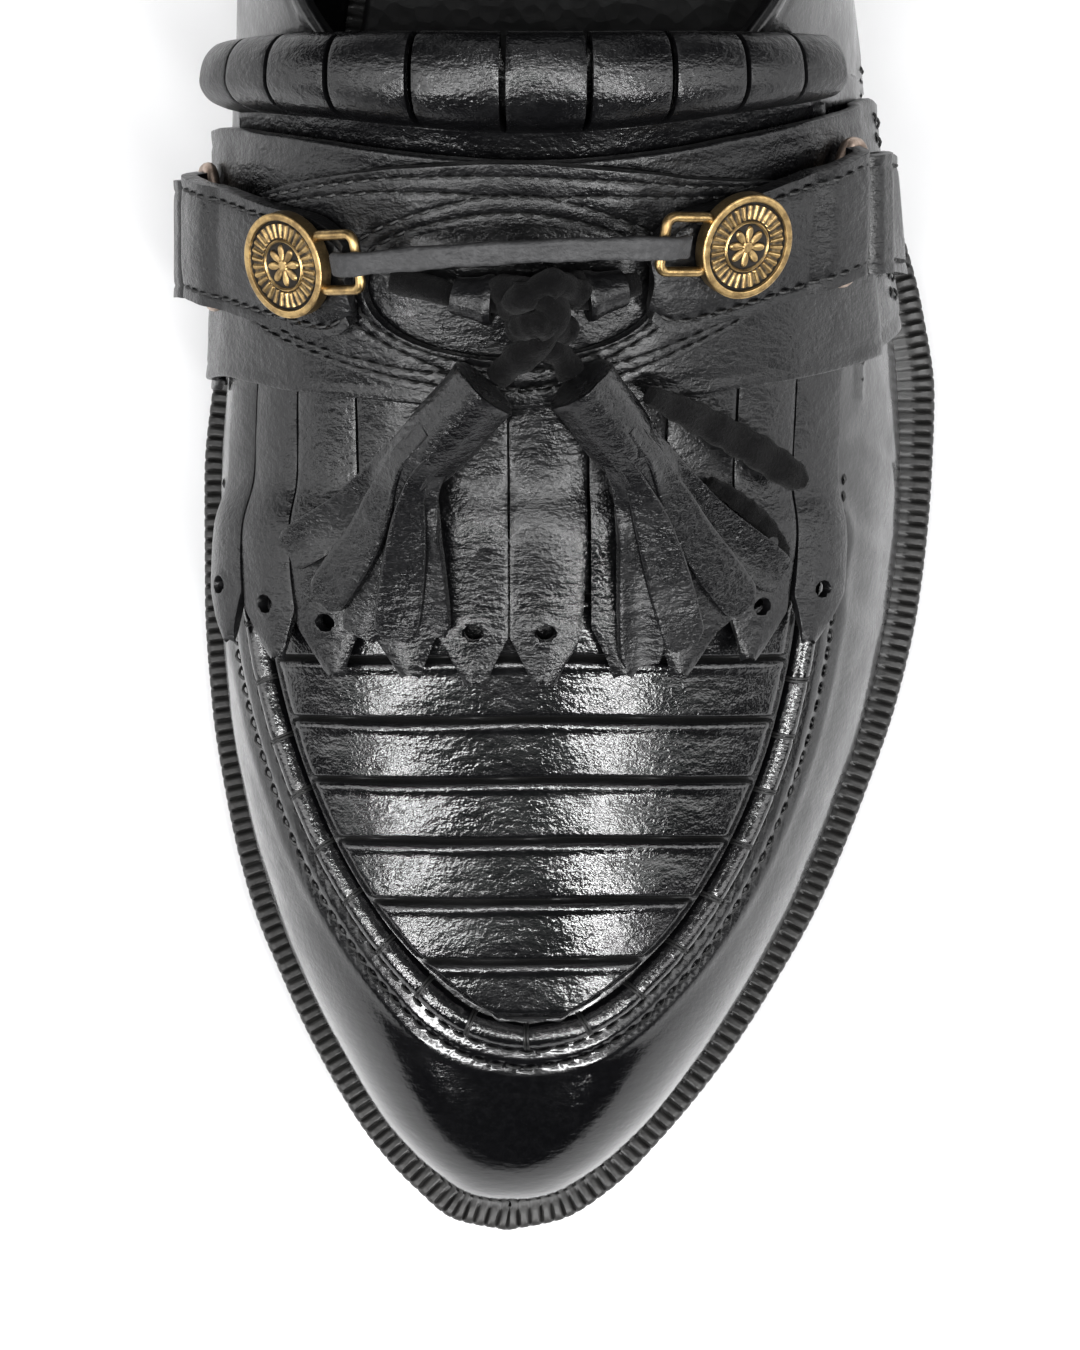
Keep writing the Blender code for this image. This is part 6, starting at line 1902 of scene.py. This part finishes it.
@dataclass
class Hardware:
    """Medallions with their loops, the side rings and the thong between the loops."""

    finishes: Finishes
    radius: float = 0.0071
    thick: float = 0.0022
    loop_length: float = 0.0065
    loop_width: float = 0.0088
    loop_bar: float = 0.0014
    flutes: int = 30
    petals: int = 8
    thong_width: float = 0.0031
    thong_thick: float = 0.0014
    middles: Mapping[Side, tuple[float, float]] = field(
        default_factory=lambda: {Side.MEDIAL: (0.1341, -0.0333), Side.LATERAL: (0.1364, 0.0255)}
    )

    def seat(self, side: Side) -> tuple[Array, Array, Array]:
        """A medallion's point, up direction and direction around the shoe."""
        along, across = self.middles[side]
        girth = float(SKIN.girth_at(along, across))
        lift = float(LAYERS.strap_lift(along, girth)) + LAYERS.strap + 2 * LAST.gap
        return SKIN.spot(along, across, lift)[:3]

    def relief(self, share: Array, turn: Array) -> Array:
        """The medallion's face: a rim, a fluted ring and a plain rosette, as heights from 0 to 1."""
        share, turn = np.broadcast_arrays(share, turn)
        rim = ease(share, 0.84, 0.87)
        ring = ease(share, 0.50, 0.53) * (1 - ease(share, 0.79, 0.82))
        flute = 0.45 + 0.55 * ease(np.cos(turn * self.flutes), -0.5, 0.5)
        collar = bell(share - 0.47, 0.035)
        reach = 0.13 + 0.29 * np.abs(np.cos(turn * self.petals / 2)) ** 0.6
        petal = ease(reach - share, 0.0, 0.05) * (0.6 + 0.4 * np.abs(np.cos(turn * self.petals / 2)))
        boss = ease(-share, -0.12, -0.09)
        return np.maximum.reduce([rim, ring * flute * 0.85, collar * 0.9, petal * 0.85, boss])

    def medallion(self, side: Side) -> None:
        """Makes a medallion and its loop."""
        point, up, around = self.seat(side)
        put = placed(point, around, up)
        turn = full_turn(240)[None]
        share = np.concatenate([np.linspace(0.02, 0.985, 66), [1.0, 1.0, 0.97, 0.02]])[:, None]
        face = self.relief(share, turn)
        edge = np.array([self.thick - 0.00012, 0.0003, 0.0, 0.0])[:, None] + 0 * turn
        height = self.thick - 0.00055 * (1 - face)
        height[-4:] = edge
        height[64:66] -= np.array([[0.00001], [0.00005]])
        flat = np.stack([self.radius * share * np.cos(turn), self.radius * share * np.sin(turn), height], -1)
        rows, columns = flat.shape[:2]
        faces = grid_faces(rows, columns, wrap=True)
        faces += [tuple(range(columns)), tuple((rows - 1) * columns + k for k in range(columns))[::-1]]
        recess = 1 - face
        recess[-4:] = 0.35
        parts = Parts()
        parts.add(put(flat).reshape(-1, 3), faces, recess=recess.reshape(-1))
        towards = -side.value
        near, far = self.radius * 0.80, self.radius + self.loop_length - self.loop_bar / 2
        half, corner = self.loop_width / 2 - self.loop_bar / 2, 0.0012
        line = []
        for cx, cy, start in ((far, half, 0.0), (near, half, 0.5), (near, -half, 1.0), (far, -half, 1.5)):
            for t in np.linspace(0, 0.5, 6):
                angle = (start + t) * math.pi
                centre_x = cx - corner if cx == far else cx + corner
                centre_y = cy - math.copysign(corner, cy)
                x, y = centre_x + corner * math.cos(angle), centre_y + corner * math.sin(angle)
                line.append((towards * x, y, 0.00105))
        path = put(np.array(line))
        points, loop_faces = tube(path, np.tile(up, (len(path), 1)), round_profile(self.loop_bar / 2, 12), closed=True)
        parts.add(points, loop_faces, recess=0.12)
        name = f"medallion_{side.word}_rosette"
        add_piece(name, parts.mesh(name), self.finishes.brass, "antique_brass", f"medallion_{side.word}")

    def ring(self, side: Side) -> None:
        """Makes an oval side ring."""
        along, girth = RINGS.middles[side]
        lift = float(LAYERS.saddle_lift(along, girth)) + LAYERS.saddle + RINGS.wire / 2 + 1.5 * LAST.gap
        centre = SKIN.at(along, girth, lift)
        up = unit(SKIN.at(along, girth, lift + 0.001) - centre)
        around = SKIN.at(along, girth + 0.005) - SKIN.at(along, girth - 0.005)
        around = unit(around - up * around.dot(up))
        turn = full_turn(96)
        length, width = (RINGS.length - RINGS.wire) / 2, (RINGS.width - RINGS.wire) / 2
        y = length * np.sign(np.sin(turn)) * np.abs(np.sin(turn)) ** 0.75
        x = width * np.sign(np.cos(turn)) * np.abs(np.cos(turn)) ** 0.75
        path = placed(centre, around, up)(np.stack([x, y, 0 * x], 1))
        points, faces = tube(path, np.tile(up, (96, 1)), round_profile(RINGS.wire / 2, 14), closed=True)
        name = f"ring_{side.word}_wire"
        mesh = make_mesh(name, points, faces, {"recess": np.full(len(points), 0.15)})
        add_piece(name, mesh, self.finishes.bronze, "aged_bronze", f"ring_{side.word}")

    def thong(self) -> None:
        """Makes the thin worn strap from one loop to the other."""
        ends = []
        for side in Side:
            point, up, around = self.seat(side)
            bar = self.radius + self.loop_length - self.loop_bar / 2
            top = 1.25 * self.loop_bar + self.thong_thick / 2 + 2 * LAST.gap
            over = point - around * side.value * bar + up * top
            ends.append((over + around * side.value * 0.0030 - up * 0.0009, over, up))
        (start, first, up_start), (finish_at, last, up_end) = ends
        middle, up_middle = SKIN.spot(0.1343, -0.0035, 0.0128)[:2]
        rows = [start, first]
        for t in np.linspace(0, 1, 9)[1:-1]:
            rows.append(first * (1 - t) + last * t + (middle - (first + last) / 2) * (1 - (2 * t - 1) ** 2))
        path = smooth_line(np.array(rows + [last, finish_at]), 150)
        blend = np.linspace(0, 1, 150)[:, None]
        ups = up_start * (1 - blend) ** 2 + 2 * up_middle * blend * (1 - blend) + up_end * blend**2
        profile = strap_profile(self.thong_width, self.thong_thick, 0.00045, 9)
        size = 1 + 0.05 * np.sin(np.linspace(0, 31, 150)) + 0.03 * np.sin(np.linspace(0, 83, 150))
        points, faces = tube(path, unit(ups), profile[None] * size[:, None, None])
        mesh = make_mesh("thong_worn", points, faces, {"wear": np.full(len(points), 0.7)})
        add_piece("thong_worn", mesh, self.finishes.thong, "strap_leather", "thong")

    def build(self) -> None:
        """Makes the hardware."""
        for side in Side:
            self.medallion(side)
            self.ring(side)
        self.thong()


@dataclass
class Cord:
    """The suede cord: its knot and legs, the leather sleeves, and the free ends."""

    finishes: Finishes
    radius: float = 0.0017
    fibres: int = 1500
    line: tuple[tuple[float, float, float], ...] = (
        (0.1315, -0.0200, 0.0085), (0.1300, -0.0150, 0.0088), (0.1288, -0.0100, 0.0095), (0.1283, -0.0050, 0.0100),
        (0.1282, -0.0010, 0.0102), (0.1286, 0.0030, 0.0100), (0.1294, 0.0070, 0.0095), (0.1303, 0.0105, 0.0090),
        (0.1307, 0.0122, 0.0088),
    )
    strands: tuple[tuple[tuple[float, float, float], ...], ...] = (
        ((0.1296, -0.0062, 0.0104), (0.1296, -0.0022, 0.0130), (0.1266, 0.0012, 0.0140), (0.1236, 0.0000, 0.0134),
         (0.1208, -0.0036, 0.0122), (0.1186, -0.0064, 0.0112)),
        ((0.1302, 0.0048, 0.0106), (0.1290, 0.0012, 0.0124), (0.1260, -0.0024, 0.0126), (0.1234, -0.0004, 0.0122),
         (0.1210, 0.0022, 0.0118), (0.1192, 0.0033, 0.0114)),
        ((0.1272, -0.0048, 0.0112), (0.1284, -0.0030, 0.0142), (0.1302, 0.0012, 0.0138), (0.1290, 0.0046, 0.0118)),
        ((0.1246, -0.0040, 0.0112), (0.1252, -0.0010, 0.0148), (0.1244, 0.0030, 0.0114)),
    )
    ends: Mapping[str, tuple[tuple[float, float, float], ...]] = field(
        default_factory=lambda: {
            "long": (
                (0.1164, 0.0138, 0.0100), (0.1148, 0.0178, 0.0085), (0.1125, 0.0230, 0.0066),
                (0.1097, 0.0285, 0.0062), (0.1070, 0.0330, 0.0060), (0.1058, 0.0352, 0.0060),
            ),
            "short": (
                (0.1056, 0.0222, 0.0040), (0.1030, 0.0262, 0.0040), (0.0998, 0.0300, 0.0040), (0.0955, 0.0330, 0.0040),
            ),
        }
    )

    def fuzz(self, parts: Parts, points: Array, middles: Array, count: int, seed: int) -> None:
        """Adds fine fibres that stand off a suede surface.

        Args:
            parts: Where the fibres go.
            points: The surface's points.
            middles: The point inside the suede nearest to each.
            count: How many fibres.
            seed: Seed of the random draws.
        """
        draw = np.random.default_rng(seed)
        chosen = draw.integers(0, len(points), count)
        for k in chosen:
            out = unit(points[k] - middles[k])
            lean = unit(out + draw.normal(0, 0.75, 3))
            side = unit(np.cross(lean, draw.normal(0, 1, 3)))
            base = points[k] - out * 0.0001 + draw.normal(0, 0.00014, 3)
            other = np.cross(lean, side)
            tip = base + lean * draw.uniform(0.0003, 0.0009)
            back, apart = base - 0.00002 * side, 0.000035 * other
            corners = [base + 0.00004 * side, back + apart, back - apart]
            parts.add(np.array(corners + [tip]), [(0, 2, 1), (0, 1, 3), (1, 2, 3), (2, 0, 3)])

    def knot(self) -> None:
        """Makes the cord and the strands of its knot."""
        parts = Parts()
        strands = [(self.line, self.radius)] + [(s, 0.00195) for s in self.strands]
        for number, (rows, radius) in enumerate(strands):
            path, ups = SKIN.path(rows, 46)
            size = 1 + 0.10 * np.sin(np.linspace(0, 17, 46) + number) + 0.05 * np.sin(np.linspace(0, 41, 46))
            profile = round_profile(radius, 14, 0.85)[None] * size[:, None, None]
            turn = full_turn(14)
            lumps = 1 + 0.07 * np.sin(3 * turn[None] + np.linspace(0, 23, 46)[:, None] + number)
            points, faces = tube(path, ups, profile * lumps[..., None])
            parts.add(points, faces)
            self.fuzz(parts, points, np.repeat(path, 14, 0), self.fibres // 5, number)
        add_piece("knot_suede", parts.mesh("knot_suede"), self.finishes.suede, "suede", "knot")

    def sleeve(self, side: Side) -> None:
        """Makes a leather sleeve, flared towards the knot."""
        near, far = (-0.0068, -0.0118) if side is Side.MEDIAL else (0.0052, 0.0102)
        line = np.array(self.line)
        line = line[np.argsort(line[:, 1])]
        across = np.linspace(near, far, 14)
        along, lift = (flowing(across, line[:, 1], line[:, k]) for k in (0, 2))
        rows = np.stack([along, across, lift], 1)
        found = [SKIN.spot(*row) for row in rows]
        path, ups = np.array([f[0] for f in found]), np.array([f[1] for f in found])
        way, up = frames_along(path, ups)
        outside = flowing(np.linspace(0, 1, 14), [0, 0.1, 0.4, 1], [0.0033, 0.0034, 0.0029, 0.0024])
        reach = np.concatenate([outside, np.full(14, self.radius + 0.00035)])
        order_of = list(range(14)) + list(range(13, -1, -1))
        turn = full_turn(36)
        fold = 1 + 0.03 * np.cos(3 * turn)
        x, y = (np.cos(turn) * fold)[:, None], (np.sin(turn) * fold)[:, None]
        grid = np.array([path[k] + r * (way[k] * x + up[k] * y) for r, k in zip(reach, order_of)])
        faces = grid_faces(28, 36, wrap=True) + closing(28, 36)
        name = f"sleeve_{side.word}_bell"
        mesh = make_mesh(name, grid.reshape(-1, 3), faces, {"wear": np.full(28 * 36, 0.3)})
        add_piece(name, mesh, self.finishes.strap, "strap_leather", f"sleeve_{side.word}")

    def free_end(self, name: str) -> None:
        """Makes a free suede end, with a ragged tip."""
        path, ups = SKIN.path(self.ends[name], 60)
        t = np.linspace(0, 1, 60)
        width = flowing(t, [0, 0.12, 0.35, 0.75, 0.93, 1.0], [0.55, 0.8, 1.0, 1.1, 1.0, 0.45])
        broad = 0.0042 if name == "long" else 0.0026
        profile = strap_profile(broad, broad * 0.5, broad * 0.2, 9)[None].repeat(60, 0)
        profile[..., 0] *= (width * (1 + 0.06 * np.sin(t * 47)))[:, None]
        profile[..., 1] *= (0.85 + 0.15 * np.sin(t * 29 + 1))[:, None]
        points, faces = tube(path, ups, profile)
        parts = Parts()
        parts.add(points, faces)
        self.fuzz(parts, points, np.repeat(path, profile.shape[1], 0), 500, len(name))
        title = f"cord_end_{name}_suede"
        nodes = ["cord_end_long"] if name == "long" else []
        add_piece(title, parts.mesh(title), self.finishes.suede, "suede", *nodes)

    def build(self) -> None:
        """Makes the cord's pieces."""
        self.knot()
        for side in Side:
            self.sleeve(side)
        for name in self.ends:
            self.free_end(name)


@dataclass
class Tassel:
    """A tassel: a rolled head whose leather is cut into strips that fan out over the kiltie."""

    finishes: Finishes
    side: Side
    head_radius: float = 0.0047
    strip_width: float = 0.0061
    strip_thick: float = 0.0016
    plans: Mapping[Side, Mapping[str, Sequence]] = field(
        default_factory=lambda: {
            Side.MEDIAL: {
                "top": (0.1172, -0.0080), "neck": (0.1075, -0.0172),
                "ends": ((0.0962, -0.0345), (0.0895, -0.0300), (0.0850, -0.0250), (0.0845, -0.0200), (0.0850, -0.0155)),
            },
            Side.LATERAL: {
                "top": (0.1176, 0.0046), "neck": (0.1085, 0.0118),
                "ends": ((0.0930, 0.0318), (0.0888, 0.0272), (0.0860, 0.0235), (0.0835, 0.0190), (0.0812, 0.0130)),
            },
        }
    )

    @staticmethod
    def clear_of(along: float, across: float, extra: float) -> float:
        """Height over the upper that clears the kiltie and the saddle's edge by extra."""
        girth = float(SKIN.girth_at(along, across))
        base = float(LAYERS.kiltie_lift(along, girth)) + LAYERS.kiltie
        saddle = float(LAYERS.overlay_lift(along, girth)) + LAYERS.overlay
        edge = float(flowing(girth, SADDLE["girth"], SADDLE["front"]))
        return base + (saddle - base) / (1 + math.exp(-(along - edge + 0.0012) / 0.0005)) + extra

    def build(self) -> None:
        """Makes the head and its strips."""
        plan, sign = self.plans[self.side], self.side.value
        (ta, tc), (na, nc) = plan["top"], plan["neck"]
        over = self.head_radius + 0.0022, self.head_radius + 0.0018
        rows = [(ta, tc, self.clear_of(ta, tc, over[0])), (na, nc, self.clear_of(na, nc, over[1]))]
        top, neck = (SKIN.spot(*row)[0] for row in rows)
        shares = np.array([0.03, 0.0, -0.005, 0.0, 0.02, 0.06, 0.15, 0.3, 0.5, 0.7, 0.9, 1.05, 1.15])
        reach = np.array([0.42, 0.80, 0.93, 1.0, 1.02, 1.0, 0.975, 0.98, 1.0, 0.97, 0.88, 0.72, 0.45])
        path = top + (neck - top) * shares[:, None]
        ups = np.tile([0.0, 0.0, 1.0], (len(path), 1))
        way = unit(np.cross(neck - top, [0, 0, 1.0]))
        high = np.cross(way, unit(neck - top))
        turn = full_turn(48)
        overlap = 1 + 0.06 * ((turn / (2 * math.pi) + 0.32) % 1.0)
        overlap = overlap + 0.022 * np.sin(turn * 5 + sign) + 0.014 * np.sin(turn * 9)
        x, y = (np.cos(turn) * overlap)[:, None], (np.sin(turn) * overlap)[:, None]
        lean = unit(neck - top) * (0.45 * self.head_radius * np.sin(turn))[:, None]
        grid = np.array([
            p + self.head_radius * r * (way * x + high * y) - lean * r * max(0.0, 1 - s / 0.5)
            for p, r, s in zip(path, reach, shares)
        ])
        faces = grid_faces(len(path), 48, wrap=True) + caps(len(path), 48)
        parts = Parts()
        parts.add(grid.reshape(-1, 3), faces, wear=0.2)
        count = len(plan["ends"])
        for k, (ea, ec) in enumerate(plan["ends"]):
            spread = (k - (count - 1) / 2) / (count - 1) * 1.5
            angle = spread * 1.25
            radial = unit(high * math.cos(angle) - way * (1 if sign < 0 else -1) * math.sin(angle))
            stem = self.head_radius - self.strip_thick / 2
            root = top + (neck - top) * (0.46 + 0.05 * (k % 3)) + radial * (stem - 0.00015)
            leave = top + (neck - top) * 0.98 + radial * (stem - 0.0002 + 0.0002 * (k % 2))
            ma, mc = (ea + na) / 2, (ec + nc) / 2
            stack = 0.0019 if k % 2 else 0.0002 + 0.0002 * k
            middle, middle_up = SKIN.spot(ma, mc, self.clear_of(ma, mc, 0.0026 + stack))[:2]
            end, end_up = SKIN.spot(ea, ec, self.clear_of(ea, ec, 0.0013 + stack / 2))[:2]
            t = np.linspace(0, 1, 60)[:, None]
            stops = np.array([root, leave, middle, end])
            path = np.stack([flowing(t[:, 0], [0, 0.27, 0.64, 1], stops[:, c]) for c in range(3)], 1)
            for _ in range(30):
                path[1:-1] = (path[:-2] + 2 * path[1:-1] + path[2:]) / 4
            twist = 0.35 * math.sin(k * 2.1 + sign) * t * (1 - t) * 2
            flat = unit(unit(middle_up * (1 - t) + end_up * t) + way * twist * 1.4)
            bound = 1 - ease(t, 0.18, 0.55)
            ups = unit(radial * bound + flat * (1 - bound))
            broad = [0.40, 0.50, 0.86, 1.04, 1.0, 0.80 - 0.2 * (k % 2)]
            width = self.strip_width * flowing(t[:, 0], [0, 0.27, 0.55, 0.85, 0.96, 1], broad)
            profile = strap_profile(self.strip_width, self.strip_thick * (1 + 0.05 * k), 0.00035, 11)
            profile = profile[None].repeat(60, 0)
            profile[..., 0] *= (width / self.strip_width)[:, None]
            bowed = 0.00045 * math.cos(k * 1.7) * (profile[..., 0] / (self.strip_width / 2)) ** 2
            ripple = 0.00014 * np.sin(t * 9 + k) + 0.00008 * np.sin(t * 23 + 2 * k)
            profile[..., 1] += bowed + ripple
            points, faces = tube(path, ups, profile)
            parts.add(points, faces, wear=0.12 + 0.08 * k)
        name = f"tassel_{self.side.word}_strips"
        add_piece(name, parts.mesh(name), self.finishes.tassel, "strap_leather", f"tassel_{self.side.word}")


@dataclass
class Studio:
    """The pale floor, the soft lights and the camera straight above the shoe."""

    camera_height: float = 0.800
    camera_at: tuple[float, float] = (-0.0043, -0.0695)
    lens: float = 145.0
    film: float = 36.0

    def light(
        self, name: str, place: Sequence[float], aim: Sequence[float], size: Sequence[float], power: float,
        gloss: float = 1.0,
    ) -> None:
        """Adds a soft box.

        Args:
            name: Its name.
            place: Where it hangs.
            aim: The point that it faces.
            size: Its width and height.
            power: Its power in watts.
            gloss: How strongly it shows in reflections.
        """
        data = bpy.data.lights.new(name, "AREA")
        data.shape, data.size, data.size_y, data.energy = "RECTANGLE", size[0], size[1], power
        data.specular_factor = gloss
        lamp = place_object(name, data)
        lamp.location = place
        lamp.rotation_euler = (Vector(aim) - Vector(place)).to_track_quat("-Z", "Y").to_euler()

    def build(self) -> None:
        """Makes the studio."""
        tree = Tree("floor_pale")
        cloud = tree.noise(tree.places(), 0.25, 2.0)
        colour = tree.mix(cloud, (0.62, 0.62, 0.624), (0.64, 0.64, 0.644))
        tree.finish(Base_Color=colour, Roughness=0.55 + cloud * 0.1)
        mesh = bpy.data.meshes.new("floor")
        mesh.from_pydata([(-3, -3, 0), (3, -3, 0), (3, 3, 0), (-3, 3, 0)], [], [(0, 1, 2, 3)])
        mesh.materials.append(tree.material)
        place_object("floor", mesh)
        world = bpy.data.worlds.new("studio_air")
        world.use_nodes = True
        world.node_tree.nodes["Background"].inputs["Color"].default_value = (0.80, 0.82, 0.86, 1)
        world.node_tree.nodes["Background"].inputs["Strength"].default_value = 0.07
        bpy.context.scene.world = world
        self.light("sky", (0, -0.05, 1.6), (0, -0.05, 0), (2.4, 2.4), 6, 0.0)
        self.light("box_left", (-0.47, -0.50, 1.0), (0, -0.08, 0.05), (0.085, 1.2), 14.0)
        self.light("box_right", (0.38, -0.50, 1.0), (0, -0.08, 0.05), (0.085, 1.2), 16.0)
        self.light("fold_lamp", (-0.08, 0.27, 1.0), (0, 0.01, 0.09), (0.22, 0.06), 1.0)
        self.light("wing_left", (-0.92, -0.35, 0.85), (0, -0.08, 0.05), (0.35, 1.2), 4.5)
        self.light("wing_right", (0.92, -0.35, 0.85), (0, -0.08, 0.05), (0.35, 1.2), 4.5)
        self.light("low_left", (-1.1, -0.1, 0.45), (0, -0.05, 0.04), (0.5, 1.6), 7.0)
        self.light("low_right", (1.1, -0.1, 0.45), (0, -0.05, 0.04), (0.5, 1.6), 7.0)
        self.light("heel_fill", (0.0, 1.2, 0.9), (0, 0, 0.06), (1.4, 0.5), 3)
        camera = bpy.data.cameras.new("camera_above")
        camera.lens, camera.sensor_width, camera.sensor_fit = self.lens, self.film, "AUTO"
        camera.clip_start, camera.clip_end = 0.01, 20
        eye = place_object("camera_above", camera)
        eye.location = (*self.camera_at, self.camera_height)
        bpy.context.scene.camera = eye
        view = bpy.context.scene.view_settings
        view.view_transform, view.look, view.exposure, view.gamma = "Standard", "None", 0.0, 0.86


def main() -> None:
    logging.basicConfig(level=logging.INFO, format="%(message)s")
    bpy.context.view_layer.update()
    finishes = Finishes()
    Studio().build()
    Sole(finishes).build()
    Upper(finishes).build()
    Apron(finishes).build()
    Kiltie(finishes).build()
    Straps(finishes).build()
    Hardware(finishes).build()
    Cord(finishes).build()
    for side in Side:
        Tassel(finishes, side).build()
    bpy.context.view_layer.update()


if __name__ == "__main__":
    main()
